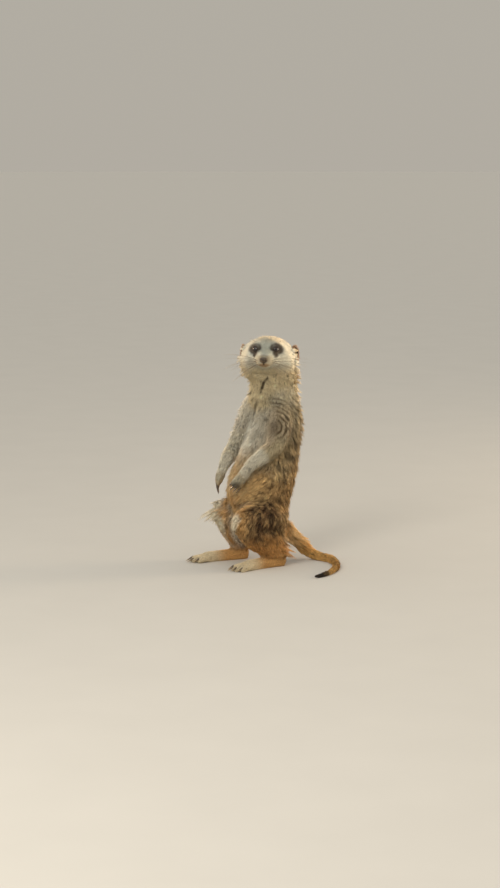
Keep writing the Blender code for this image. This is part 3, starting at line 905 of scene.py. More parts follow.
@dataclass(frozen=True)
class Markings:
    """Where each colour of the coat lies. The skin and the locks both read it."""

    figure: Figure
    tan: str = "#c0a67c"
    silver: str = "#e6e4d6"
    sand: str = "#e9dab4"
    grizzle: str = "#bdab88"
    amber: str = "#dcb479"
    umber: str = "#5c3d24"
    rust: str = "#cf9148"
    fawn: str = "#cf9f60"
    cream: str = "#e6d8b6"
    ash: str = "#d3d0c2"
    earth: str = "#7b6143"
    soot: str = "#2a211b"

    def trunk(self, coat: Canvas) -> None:
        """Colours the back, the chest and the belly.

        Args:
            coat: the coat as it is coloured.
        """
        part, torso, z, soft = coat.part, coat.torso, coat.z, coat.soft
        coat.lay(self.tan, 1.0)
        coat.lay(self.grizzle, torso * coat.rear * ramp(z, 90, 150) * 0.8)
        coat.lay(self.amber, torso * (1 - ramp(z + soft * 12, 92, 140)) * 0.85)
        coat.dark = coat.dark + torso * (1 - coat.front) * 0.30
        # Broken dark bars lie across the back from the shoulders to the rump.
        bars = ramp(waves(z + soft * 3.0 - coat.x * 0.12, 13), 0.50, 0.85)
        bars = bars * coat.rear * ramp(z, 36, 60) * (1 - ramp(z, 140, 170)) * torso
        coat.lay(self.earth, bars * (0.55 + soft * 0.25))
        # The chest and belly are silvery, streaked with darker strands.
        chest = (part[Region.TRUNK] + part[Region.NECK] * 0.5) * coat.front * (1 - ramp(coat.x, 16, 30))
        coat.lay(self.silver, chest * ramp(z, 100, 140) * (0.9 - coat.near * 0.4))
        coat.lighten(chest * 0.8)
        strands = ramp(noise(coat.points * (1, 1, 0.16), 2.6, 7), -0.1, 0.6)
        coat.lay("#8f8468", chest * strands * 0.45)
        low = 1 - ramp(z + soft * 9, 62, 118)
        belly = part[Region.TRUNK] * coat.front * low * (1 - ramp(coat.x, 10, 24))
        coat.lay("#efe6cb", belly * ramp(z + soft * 4, 80, 94) * 0.85)

    def neck(self, coat: Canvas) -> None:
        """Colours the neck: sand, with faint rings below the jaw.

        Args:
            coat: the coat as it is coloured.
        """
        part, z = coat.part, coat.z
        throat = part[Region.NECK] + part[Region.TRUNK] * ramp(z, 172, 190)
        nape = ramp(coat.normals[:, 1] + coat.soft * 0.15, 0.60, 1.0)
        coat.lay(self.sand, throat * (1 - nape) * 0.95)
        # Painted light: the back edge of the neck on the left side is painted silver, where light from behind
        # falls.
        coat.lay(self.silver, throat * spot(coat.points, (24, 20, 190), (16, 18, 14)) * 0.5)
        coat.lighten(throat * (1 - nape) * 0.85)
        neck = ramp(z, 172, 186) * (1 - ramp(z, 214, 222)) * (part[Region.NECK] + part[Region.TRUNK])
        rings = waves(z + coat.y * 0.35 + coat.soft * 3.5, 8)
        coat.lay(self.earth, neck * ramp(rings, 0.6, 1.0) * 0.22)

    def shoulder(self, coat: Canvas) -> None:
        """Colours the shoulder: light and dark bands that ring the joint of the arm.

        Args:
            coat: the coat as it is coloured.
        """
        part, z, near, beside = coat.part, coat.z, coat.near, coat.beside
        fore = (part[Region.TRUNK] + part[Region.UPPER_ARM]) * ramp(z, 120, 140) * (1 - ramp(z, 192, 204))
        silvered = np.maximum((1 - beside) * (0.8 - near * 0.45), 0.8 - near)
        coat.lay(self.silver, fore * coat.front * silvered)
        coat.lighten(fore * (1 - beside) * coat.front * 0.7)
        shoulder = coat.spot(*SHOULDER) * (1 - part[Region.FOREARM]) * beside * (0.3 + near * 0.7)
        coat.lay("#d5ccb2", shoulder * 0.5)
        bands = waves(norm(coat.mirrored - (30, -4, 159)) + coat.soft * 1.2, 4.8)
        coat.lay("#5a432a", shoulder * ramp(bands, 0.45, 0.80) * 0.85)
        coat.lay("#453019", coat.spot((31, -5, 159), (9, 10, 10), 0.6) * 0.45)
        coat.dark = np.maximum(coat.dark, shoulder * 0.30)

    def arms(self, coat: Canvas) -> None:
        """Colours the arms: pale, greyer on the hands and dark at the fingers, with painted shade under them.

        Args:
            coat: the coat as it is coloured.
        """
        part, points, normals = coat.part, coat.points, coat.normals
        arm = part[Region.FOREARM] + part[Region.UPPER_ARM] * (1 - ramp(coat.z, 138, 156))
        coat.lay("#e6e2d0", part[Region.FOREARM] * 0.85)
        sleeve = arm - part[Region.FOREARM]
        coat.lay("#c9bd9c", sleeve * coat.beside * 0.8)
        inward = ramp(-normals[:, 0] * np.sign(points[:, 0]), -0.1, 0.4)
        coat.lay("#e2ddc9", sleeve * (1 - coat.near) * np.maximum(coat.front, inward) * 0.8)
        # Painted shade: the undersides of the upper arm and forearm are laid with earth brown.
        under = (part[Region.UPPER_ARM] * ramp(-normals[:, 2], 0.0, 0.6)
                 + part[Region.FOREARM] * ramp(-normals[:, 2], 0.3, 0.9))
        coat.lay(self.earth, under * 0.35)
        coat.lay("#d2ccb6", part[Region.HAND] * 0.9)
        fingers = 1 - ramp(coat.z - np.where(points[:, 0] > 0, 0, -7) + coat.soft * 1.5, 93, 101)
        coat.lay("#3d2e22", part[Region.HAND] * fingers * 0.8)
        coat.lighten(np.clip(arm + part[Region.HAND], 0, 1) * 0.7)

    def haunch(self, coat: Canvas) -> Array:
        """Colours the haunch and the flank: umber streaks with pale tips above, rust below.

        Args:
            coat: the coat as it is coloured.

        Returns:
            How far each point lies on the haunch.
        """
        part, y, leg = coat.part, coat.y, coat.leg
        haunch = coat.spot((42, -16, 54), (28, 34, 37), 0.4) * (leg + part[Region.TRUNK] * 0.8)
        flank = coat.spot((34, 4, 92), (22, 28, 34), 0.5) * part[Region.TRUNK]
        behind = ramp(y + coat.soft * 5, -14, 8)
        outward = coat.normals[:, 0] * np.sign(coat.points[:, 0])
        outer = ramp(outward + ramp(coat.normals[:, 1], 0, 1), -0.1, 0.4)
        outer = outer * ramp(y + coat.soft * 3, -50, -36)
        haunch, flank = haunch * outer, flank * outer
        # Toward the back the umber thins, so the back of the haunch is painted lighter, as light from behind.
        streaked = haunch * (0.50 + coat.streaks * 0.45 - behind * 0.50)
        coat.lay(self.umber, streaked + flank * coat.streaks * 0.22 * (1 - haunch))
        coat.dark = np.maximum(coat.dark, np.maximum(haunch * 0.8, flank * 0.45))
        # Behind the elbow the coat is lighter; up the back edge of the neck it is painted lighter, where
        # light from behind falls.
        coat.lay("#dcc79c", coat.spot((34, 10, 118), (16, 22, 22), 0.5) * coat.torso * 0.5)
        coat.lay("#e3d3ae", coat.spot((24, 30, 186), (16, 18, 32), 0.5) * 0.4)
        # The seat is rust, with a pale patch over the heel.
        seat = (1 - ramp(coat.z + coat.soft * 5, 24, 44)) * (leg + part[Region.TRUNK])
        coat.lay(self.rust, seat * 0.75)
        coat.lighten(seat * 0.5)
        coat.lay(self.cream, coat.spot((24, 15, 25), (9, 10, 10), 0.6) * 0.6)
        # Flank hair turns cream where it sweeps in front of the thigh, and the fold below is painted dark as
        # shade.
        coat.lay("#e2bf85", coat.spot((27, -28, 84), (18, 20, 15)) * (0.9 - coat.streaks * 0.6))
        coat.lay(self.umber, coat.spot((13, -38, 69), (12, 10, 7)) * 0.5)
        return haunch

    def legs(self, coat: Canvas, haunch: Array) -> None:
        """Colours the knees and shins, pale in front and rust behind, and the feet.

        Args:
            coat: the coat as it is coloured.
            haunch: how far each point lies on the haunch.
        """
        y, leg = coat.y, coat.leg
        coat.lay(self.fawn, leg * (1 - haunch) * coat.front * ramp(-y, 10, 30) * 0.8)
        ahead = ramp(-coat.normals[:, 1] + coat.soft * 0.1, 0.66, 0.92)  # only what faces nearly forward
        shin = np.maximum(leg * ahead * ramp(-y, 12, 30), spot(coat.points, (-38, -44, 66), (13, 13, 14)))
        coat.lay("#f0e8d0", shin * 0.9)
        coat.lighten(shin * 0.9)
        inner = leg * (1 - ramp(coat.x, 20, 28)) * coat.front
        coat.lay(self.ash, inner * 0.6)
        coat.lay("#c99a5c", coat.part[Region.SHANK] * (1 - coat.front) * 0.6)
        # Feet: warm at the ankle, cream on the toes.
        foot = coat.part[Region.FOOT]
        toes = ramp(-(y - np.where(coat.points[:, 0] > 0, -20, -37)), -8, 14)
        coat.lay(self.fawn, foot * 0.9)
        coat.lay("#dccfae", foot * toes * 0.85)
        coat.lighten(foot * 0.9)

    def tail(self, coat: Canvas) -> None:
        """Colours the tail: gold, paler at the root and black at the tip.

        Args:
            coat: the coat as it is coloured.
        """
        along, tail = TAIL.measure(coat.points)[0], coat.part[Region.TAIL]
        coat.lay("#dcae68", tail)
        coat.lay("#e6cd9e", tail * (1 - ramp(along, 0.10, 0.26)) * 0.65)
        coat.lay(self.soot, tail * ramp(along + coat.soft * 0.02, 0.80, 0.88))
        coat.dark = coat.dark + (0.12 + ramp(along, 0.3, 0.7) * 0.25 - coat.dark) * tail

    def face(self, points: Array) -> tuple[Array, Array]:
        """Colours the head.

        Args:
            points: places in the maker's frame.

        Returns:
            The colour, and the share of hairs that carry dark bands.
        """
        mirrored = fold(self.figure.to_head(points), 1)
        forward, _, height = mirrored.T
        soft = noise(points, 5, 11) * 0.5 + noise(points, 2, 12) * 0.5
        back = 1 - ramp(forward + soft * 4, -16, 2)
        jaw = 1 - ramp(height + soft * 2, -22, -13)
        patch = np.maximum(
            spot(mirrored, (14.0, 11.4, 3.2), (9.5, 9.0, 6.3), 0.40),
            spot(mirrored, (17.0, 9.6, -2.4), (8.0, 5.0, 5.8), 0.42),
        )
        patch = ramp(patch + soft * 0.2, 0.15, 0.95)
        colour = np.tile(linear("#dcdccd"), (len(points), 1))
        for code, share in (
            # the crown has a warmer tone of its own, and is also painted lighter as light from above
            ("#e4d7b8", ramp(height + soft * 2, 7, 14) * 0.8),  # crown
            (self.grizzle, back * 0.6),
            ("#e2d0a6", jaw * (1 - back * 0.5) * 0.8),
            ("#e8e4d4", spot(mirrored, (6, 22, -10), (16, 12, 13), 0.5) * 0.5),  # cheek
            # painted shade: the forehead and bridge are painted a darker, cooler grey
            ("#c0c0ac", spot(mirrored, (20, 0, 4), (15, 9, 11), 0.8) * 0.8),  # forehead and bridge
            ("#bfae8b", spot(mirrored, (33, 6, -8), (8, 6, 6), 0.4) * 0.5),  # side of the muzzle
            ("#7d6c4d", spot(mirrored, (36.5, 0, -5.0), (6, 7, 5.6), 0.5) * 0.7),  # round the nose pad
            ("#a27a48", spot(mirrored, (35.0, 0, -13.3), (6, 5.8, 3.4), 0.4) * 0.8),  # lips
            ("#473a2e", patch * 0.95),  # the dark patches that shade the eyes
            ("#9a6f48", spot(mirrored, tuple(EAR_AT), (8.5, 8.5, 10), 0.3) * 0.30),
        ):
            colour = mix(colour, linear(code), share)
        return colour, np.clip(back * 0.18 * (1 - patch), 0, 1)

    def paint(self, points: Array, normals: Array, weights: Array) -> tuple[Array, Array]:
        """Colours any place on the animal.

        Args:
            points: places in the maker's frame.
            normals: which way the surface faces there.
            weights: the share of each region there.

        Returns:
            The colour, and the share of hairs that carry dark bands.
        """
        coat = Canvas(points, normals, weights)
        for colour_part in (self.trunk, self.neck, self.shoulder, self.arms):
            colour_part(coat)
        self.legs(coat, self.haunch(coat))
        self.tail(coat)
        face, face_dark = self.face(points)
        share = ramp(coat.part[Region.HEAD], 0.25, 0.75)
        colour = mix(coat.colour, face, share)
        dark = np.clip(coat.dark, 0, 1) * (1 - share) + face_dark * share
        # Painted shade: along the creases of the throat and chest the coat is painted dark brown and loses
        # its dark bands.
        crease = FOLDS.near(points, normals, 0.85) * ramp(points[:, 2], 120, 205)
        colour = mix(colour, linear("#3d2c1a"), crease * 0.9)
        return colour, dark * (1 - crease)


# ---------------- the skin


@dataclass
class EyeOpening:
    """The almond between the lids of one eye, set on the eyeball."""

    figure: Figure
    side: int
    half_width: float = 0.72  # radians from the middle to a corner
    upper: float = 0.53  # radians from the middle to the upper lid
    lower: float = 0.45
    blunt: float = 1.7  # 2 gives an oval, less gives sharper corners

    def __post_init__(self) -> None:
        """Finds the eye's middle and the directions of its opening."""
        turn = self.figure.turn_from_head
        self.middle = self.figure.from_head(EYE_AT * (1, self.side, 1))
        self.out = unit(turn((0.84, 0.52 * self.side, 0.10)))
        self.gaze = unit(turn((0.90, 0.43 * self.side, 0.05)))
        across = turn((-0.50, 0.85 * self.side, 0.06))  # toward the outer corner
        self.across = unit(across - self.out * (across @ self.out))
        self.over = np.cross(self.out, self.across) * self.side
        if self.over @ UP < 0:
            self.over = -self.over

    def edge(self, turn: Array) -> Array:
        """How far from the middle the lid's edge is, in radians, by the turn round the opening."""
        height = np.where(np.sin(turn) > 0, self.upper, self.lower)
        wide, tall = np.abs(np.cos(turn) / self.half_width), np.abs(np.sin(turn) / height)
        return (wide**self.blunt + tall**self.blunt) ** (-1 / self.blunt)

    def polar(self, points: Array) -> tuple[Array, Array, Array]:
        """Finds places by angle.

        Args:
            points: places, one in each row.

        Returns:
            Their distance from the eye's middle, their angle off its axis and their turn round it.
        """
        out = points - self.middle
        reach = norm(out)
        way = out / np.maximum(reach, 1e-6)[:, None]
        off = np.arccos(np.clip(way @ self.out, -1, 1))
        return reach, off, np.arctan2(way @ self.over, way @ self.across)

    def place(self, off: Array, turn: Array, reach: float) -> Array:
        """Finds places from their angles.

        Args:
            off: the angle off the eye's axis.
            turn: the turn round it.
            reach: the distance from the eye's middle.

        Returns:
            The places, one in each row.
        """
        off, turn = off[:, None], turn[:, None]
        aside = self.across * np.cos(turn) + self.over * np.sin(turn)
        return self.middle + (self.out * np.cos(off) + aside * np.sin(off)) * reach


def claws_of(limb: str, word: str) -> list[str]:
    """The names of the claw solids of a hand or foot, by its side's word."""
    return sorted(node for node in frame["nodes"] if node.startswith(f"{limb}_claw_{word}"))


class Fingers:
    """The fingers and toes, found from their claws, so that the skin can part between them, and shade be
    painted dark along the partings.
    """

    def __init__(self, figure: Figure) -> None:
        """Finds where each claw and each hand or foot is."""
        self.limbs = []
        for limb, word in itertools.product(("hand", "foot"), SIDES):
            claws = [figure.middle_of(node) for node in claws_of(limb, word)]
            self.limbs.append((claws, figure.middle_of(f"{limb}_{word}")))

    def gaps(self, points: Array) -> Array:
        """Finds the partings between two fingers.

        Args:
            points: places, one in each row.

        Returns:
            1 on a parting and 0 away from one.
        """
        best = np.zeros(len(points))
        for claws, palm in self.limbs:
            away = []
            for claw in claws:
                step = (palm - claw) * 0.7
                along = share_along(points, claw, step, -0.5)
                away.append(norm(points - claw - along[:, None] * step))
            first, second = np.sort(np.array(away), axis=0)[:2]
            tip = np.min([norm(points - claw) for claw in claws], axis=0)
            parted = np.exp(-(((second - first) / 0.7) ** 2)) * (1 - ramp(tip, 7, 11))
            best = np.maximum(best, parted)
        return best


def normals_of(points: Array, triangles: Array) -> Array:
    """Works out which way a surface faces.

    Args:
        points: its points, one in each row.
        triangles: the numbers of each triangle's points.

    Returns:
        The direction that it faces at each point.
    """
    corners = points[triangles]
    facing = np.cross(corners[:, 1] - corners[:, 0], corners[:, 2] - corners[:, 0])
    total = np.stack([
        sum(np.bincount(triangles[:, k], facing[:, axis], len(points)) for k in range(3))
        for axis in range(3)], axis=1)
    return unit(total)


def flatten(ways: Array, normals: Array) -> Array:
    """Directions laid along the surface that faces the normals."""
    return ways - normals * (ways * normals).sum(1)[:, None]


def relax(values: Array, edges: Array, share: Array | float, rounds: int) -> Array:
    """Draws each value toward the mean of its neighbours.

    Args:
        values: one row for each point.
        edges: pairs of point numbers.
        share: how far each moves in a round.
        rounds: how many times.

    Returns:
        The eased values.
    """
    count = len(values)
    both = np.concatenate([edges, edges[:, ::-1]])
    degree = np.maximum(np.bincount(both[:, 0], minlength=count), 1)[:, None]
    if np.ndim(share):
        share = np.asarray(share)[:, None]
    for _ in range(rounds):
        mean = np.stack([np.bincount(both[:, 0], values[both[:, 1], k], count)
                         for k in range(values.shape[1])], axis=1) / degree
        values = values + share * (mean - values)
    return values


@dataclass
class Skin:
    """The hide of the whole animal in one closed form, under the coat."""

    figure: Figure
    markings: Markings
    hair: Material  # the finish of the coat that grows on it
    voxel: float = 1.1  # mm
    closing: float = 0.35  # mm that each solid swells by, to close the gaps between them
    crease: float = 0.25  # mm that the creases sink
    cleft: float = 0.6  # mm that the partings of the fingers sink
    mouth: tuple = (  # half the line of the mouth, on the head
        (37.5, 0.0, -10.2), (37.0, 0.0, -12.4), (35.2, 2.6, -13.9), (31.5, 5.2, -14.6),
        (27.5, 8.0, -14.4), (23.5, 10.4, -13.4), (20.5, 12.0, -12.2),
    )

    def __post_init__(self) -> None:
        """Sets out the two eye openings."""
        self.openings = {word: EyeOpening(self.figure, side) for word, side in SIDES.items()}

    def solids(self) -> list[str]:
        """The names of the solids that are flesh."""
        starts = tuple(region.value for region in Region)
        return sorted(n for n in frame["nodes"] if n.startswith(starts) and "claw" not in n)

    def close(self) -> Mesh:
        """Closes the flesh solids up into one mesh.

        Returns:
            The remeshed skin, in metres.
        """
        shell = bmesh.new()
        for name in self.solids():
            shell.from_mesh(frame["nodes"][name].data)
        bmesh.ops.remove_doubles(shell, verts=shell.verts, dist=2e-5)
        shell.normal_update()
        for vertex in shell.verts:
            vertex.co += vertex.normal * self.closing * 0.001
        fillers = [(NOSE_AT - (1.6, 0, 0), NOSE_RADII * 0.95)]
        for side in SIDES.values():
            fillers.append((EYE_AT * (1, side, 1), np.full(3, EYE_RADIUS + 0.35)))
            fillers.append(((EAR_AT - (0, 5.6, 0)) * (1, side, 1), EAR_RADII * (1.0, 0.9, 1.0)))
        turn = np.stack([self.figure.forward, self.figure.side, UP], axis=1)
        for at, radii in fillers:
            place = Matrix.Translation(Vector(self.figure.metres(self.figure.from_head(at))))
            place = place @ Matrix((turn * radii * 0.001).tolist()).to_4x4()
            bmesh.ops.create_uvsphere(shell, u_segments=24, v_segments=14, radius=1.0, matrix=place)
        rough = bpy.data.meshes.new("rough")
        shell.to_mesh(rough)
        shell.free()
        holder = put("rough", rough)
        remesh = holder.modifiers.new("close", "REMESH")
        remesh.mode, remesh.voxel_size = "VOXEL", self.voxel * 0.001
        graph = bpy.context.evaluated_depsgraph_get()
        closed = bpy.data.meshes.new_from_object(holder.evaluated_get(graph))
        bpy.data.objects.remove(holder)
        return closed

    def share(self, region: Region) -> Array:
        """How far each point belongs to a region."""
        return self.weights[:, REGIONS.index(region)]

    def read(self, mesh: Mesh) -> None:
        """Takes over a mesh's points, triangles and edges.

        Args:
            mesh: the mesh, in metres.
        """
        points = np.empty(len(mesh.vertices) * 3, np.float32)
        mesh.vertices.foreach_get("co", points)
        self.points = self.figure.millimetres(points.reshape(-1, 3).astype(float))
        mesh.calc_loop_triangles()
        triangles = np.empty(len(mesh.loop_triangles) * 3, np.int32)
        mesh.loop_triangles.foreach_get("vertices", triangles)
        self.triangles = triangles.reshape(-1, 3)
        edges = np.empty(len(mesh.edges) * 2, np.int32)
        mesh.edges.foreach_get("vertices", edges)
        self.edges = edges.reshape(-1, 2)

    def refine(self, mesh: Mesh) -> Mesh:
        """Divides the face finely, and the lids and lips once more.

        Args:
            mesh: the closed skin.

        Returns:
            The same mesh, in triangles.
        """
        mesh.vertices.foreach_set("co", self.figure.metres(self.points).ravel().astype(np.float32))
        form = bmesh.new()
        form.from_mesh(mesh)
        for zones in (((18, 0, -2, 25),), ((*EYE_AT, 8.2), (33, 0, -10, 9.5))):
            chosen = []
            for edge in form.edges:
                middle = np.array((edge.verts[0].co + edge.verts[1].co) / 2)
                at = self.figure.to_head(self.figure.millimetres(middle))
                at[1] = abs(at[1])
                if any(norm(at - zone[:3]) < zone[3] for zone in zones):
                    chosen.append(edge)
            bmesh.ops.subdivide_edges(form, edges=chosen, cuts=1, use_grid_fill=True)
        bmesh.ops.triangulate(form, faces=form.faces)
        form.to_mesh(mesh)
        form.free()
        return mesh

    def find_regions(self) -> None:
        """Finds which part each point belongs to, and softens the borders between parts."""
        places, faces, owners = [], [], []
        for name in self.solids():
            mesh = frame["nodes"][name].data
            start = len(places)
            places += self.figure.corners_of(name).tolist()
            region = max((r for r in REGIONS if name.startswith(r.value)), key=lambda r: len(r.value))
            for polygon in mesh.polygons:
                faces.append([start + i for i in polygon.vertices])
                owners.append(REGIONS.index(region))
        tree = BVHTree.FromPolygons(places, faces)
        nearest = [owners[tree.find_nearest(Vector(p))[2]] for p in self.points]
        hot = np.zeros((len(self.points), len(REGIONS)))
        hot[np.arange(len(hot)), nearest] = 1
        self.weights = relax(hot, self.edges, 0.6, 22)
        self.weights /= self.weights.sum(axis=1, keepdims=True)

    def find_growth(self) -> None:
        """Works out how deep, long, wide and close the coat grows at each point."""
        growth = self.weights @ np.array([astuple(GROWTH[region]) for region in REGIONS])
        head, tail = self.share(Region.HEAD), self.share(Region.TAIL)
        at = self.figure.to_head(self.points)
        face = (head * ramp(at[:, 0] + np.abs(at[:, 1]) * 0.15, 4, 20))[:, None]
        growth[:, :3] = growth[:, :3] * (1 - face) + np.array((1.0, 2.3, 0.27)) * face
        snout = head * ramp(at[:, 0], 27, 37)
        growth[:, :2] -= snout[:, None] * (0.4, 1.0)
        along = TAIL.measure(self.points)[0]
        root, end = 1 - ramp(along, 0.05, 0.35), ramp(along, 0.6, 1.0)
        growth[:, 0] += tail * (root * 1.6 - end * 0.5)
        growth[:, 1] += tail * (root * 4.0 - end * 1.5)
        # Over the joint of the arm the hair is short and lies flat, so that its bands show.
        shoulder = spot(fold(self.points, 0), *SHOULDER)
        growth[:, 1] -= shoulder * 3.5
        growth[:, 3] -= shoulder * 1.0
        growth[:, 4] *= 1 - shoulder * 0.6
        # It shortens again up the neck, to meet the short hair of the jaw.
        jaw = ramp(self.points[:, 2], 196, 216) * self.share(Region.NECK)
        growth[:, :2] *= 1 - jaw[:, None] * (0.40, 0.45)
        stand, flung = np.zeros((len(growth), 1)), np.zeros((len(growth), 3))
        for fringe in FRINGES:
            near = spot(self.points, fringe.at, fringe.radii, 0.6)[:, None]
            growth[:, :2] += near * (fringe.sink, fringe.length)
            growth[:, 3:] += near * ((fringe.clump, 0.85) - growth[:, 3:])
            stand = np.maximum(stand, near * fringe.stand)
            flung += near * fringe.fling
        self.skin_depth = growth[:, 0].copy()
        crease = FOLDS.near(self.points, normals_of(self.points, self.triangles), 0.9)[:, None]
        growth[:, :2] *= 1 - crease * (0.30, 0.25)
        self.growth = np.concatenate([growth, stand, flung], axis=1)

    def find_lie(self) -> None:
        """Works out which way the hair lies at each point."""
        points, weights = self.points, dict(zip(REGIONS, self.weights[..., None].swapaxes(0, 1)))
        normals = normals_of(points, self.triangles)
        x, y, z = points.T
        # The face's hair lies back from the nose, and turns down behind the head and under the jaw.
        at = self.figure.to_head(points)
        drop = (1 - ramp(at[:, 2], -18, -4)) * 0.75 + (1 - ramp(at[:, 0], -24, -8)) * 0.8
        back = mix(unit(at - (40, 0, -7)), np.array((-0.35, 0, -1)), np.clip(drop, 0, 0.9))
        total = self.figure.turn_from_head(back) * weights[Region.HEAD]
        total += np.array((0.0, 0.05, -1.0)) * (weights[Region.NECK] + weights[Region.TRUNK])
        # That of the flanks sweeps in over the belly.
        sweep_in = weights[Region.TRUNK][:, 0] * ramp(-y, -14, 18) * (1 - ramp(z, 100, 125)) * ramp(z, 55, 75)
        total[:, 1] -= sweep_in * 1.5
        total[:, 0] -= np.sign(x) * sweep_in * 0.4
        for word, side in SIDES.items():
            mine = ((x > 0) == (side > 0))[:, None]
            arm, leg, foot = (Line(lines[word]).measure(points)[2]
                              for lines in (ARM_LINES, LEG_LINES, FOOT_LINES))
            arm_share = weights[Region.UPPER_ARM] + weights[Region.FOREARM] + weights[Region.HAND]
            total += (arm + (0, 0, -0.25)) * (arm_share * mine)
            total += (leg * 0.7 + (0, 0, -0.5)) * (weights[Region.SHANK] * mine)
            total += np.array((0, -0.55, -0.85)) * (weights[Region.THIGH] * mine)
            total += foot * (weights[Region.FOOT] * mine)
        total += TAIL.measure(points)[2] * weights[Region.TAIL]
        for line in FOLDS.lines:
            near = spot(points, tuple(line.places.mean(axis=0)), (14,) * 3, 0.5)
            total = mix(total, line.measure(points)[2], near * 0.4)
        total = flatten(total, normals)
        total = relax(unit(total), self.edges, 0.6, 14)
        self.lie = unit(flatten(total, normals))

    def set_in(self) -> None:
        """Moves the skin in under the coat, and keeps the soles and the tail on the floor."""
        normals = relax(normals_of(self.points, self.triangles), self.edges, 0.5, 4)
        height, under = self.points[:, 2], ramp(-normals[:, 2], 0.2, 0.9)
        raised = ramp(height, 0.6, 4.0) * (1 - under) + ramp(height, 8, 16) * under
        normals = unit(normals)
        self.points = self.points - normals * (self.skin_depth * np.clip(raised, 0, 1))[:, None]
        self.points[:, 2] = np.where(self.points[:, 2] < 0.75, 0.0, self.points[:, 2])
        self.points -= normals * (FOLDS.near(self.points, normals, 1.2) * self.crease)[:, None]
        self.parting = Fingers(self.figure).gaps(self.points)
        self.points -= normals * (self.parting * self.cleft)[:, None]

    def shape_face(self) -> None:
        """Opens the eyes between their lids, and draws the line of the mouth."""
        normals = normals_of(self.points, self.triangles)
        at = fold(self.figure.to_head(self.points), 1)
        away = np.full(len(at), np.inf)
        mouth = np.array(self.mouth)
        for start, end in zip(mouth, mouth[1:]):
            step = end - start
            gap = (at - start - share_along(at, start, step)[:, None] * step) * (0.35, 0.6, 1.0)
            away = np.minimum(away, norm(gap))
        self.lips = np.exp(-((away / 0.55) ** 2)) * (at[:, 0] > 18)
        swell = np.exp(-(((away - 1.7) / 1.0) ** 2)) * (at[:, 0] > 18)
        self.points += normals * (swell * 0.35 - self.lips * 0.9)[:, None]
        self.lids = np.zeros(len(at))
        for opening in self.openings.values():
            reach, off, turn = opening.polar(self.points)
            near = reach < 11
            beyond = off - opening.edge(turn)
            lid = EYE_RADIUS + 0.5
            held = ramp(beyond, 0.35, 1.0)
            outside = lid * (1 - held) + np.maximum(reach, lid) * held
            shaped = np.where(beyond < -0.03, EYE_RADIUS - 1.1, outside)
            use = near & (off < 1.7)
            way = (self.points - opening.middle) / np.maximum(reach, 1e-6)[:, None]
            self.points[use] = (opening.middle + way * shaped[:, None])[use]
            self.lids = np.maximum(self.lids, near * (1 - ramp(beyond, 0.0, 0.3)))

    def build(self) -> Object:
        """Makes the skin.

        Returns:
            The finished piece.
        """
        mesh = self.close()
        self.read(mesh)
        self.find_regions()
        fine = self.share(Region.HAND) + self.share(Region.FOOT)
        ease = np.clip(0.55 - fine * 0.5 - self.share(Region.HEAD) * 0.25, 0.03, 0.6)
        self.points = relax(self.points, self.edges, ease, 22)
        self.read(self.refine(mesh))
        head = self.figure.to_head(self.points)
        face = (norm(head - (18, 0, -2)) < 27).astype(float)
        self.points = relax(self.points, self.edges, face * 0.4, 6)
        self.find_regions()
        self.find_growth()
        self.find_lie()
        self.set_in()
        self.shape_face()
        self.normals = normals_of(self.points, self.triangles)
        self.tree = BVHTree.FromPolygons(self.points.tolist(), self.triangles.tolist())
        piece = self.figure.make("skin", self.points, self.triangles, FurredHide().material())
        colour, dark = self.markings.paint(self.points, self.normals, self.weights)
        face = self.share(Region.HEAD) * ramp(head[:, 0], 6, 16)
        colour = colour * (0.82 - 0.36 * dark + 0.14 * face)[:, None]
        # Lips and lids are dark bare skin; along the partings of the fingers and toes the dark is painted
        # shade.
        bare = self.lips + self.lids * 0.9 + self.parting * 0.6
        colour = mix(colour, linear("#2a1c15"), np.clip(bare, 0, 1))
        store_colours(piece, "hide", colour)
        bpy.data.meshes.remove(mesh)
        return set_in_place(piece, "coat_tan", *self.solids())


# ---------------- the coat


class Cut(Enum):
    """How a lock is cut: straight for close fur, bent for long."""

    STRAIGHT = 1
    BENT = 2


class Side(Enum):
    """Which side of its regions a piece of the coat covers."""

    ALL = 1
    FACE = 2
    CROWN = 3
    FRONT = 4
    REAR = 5


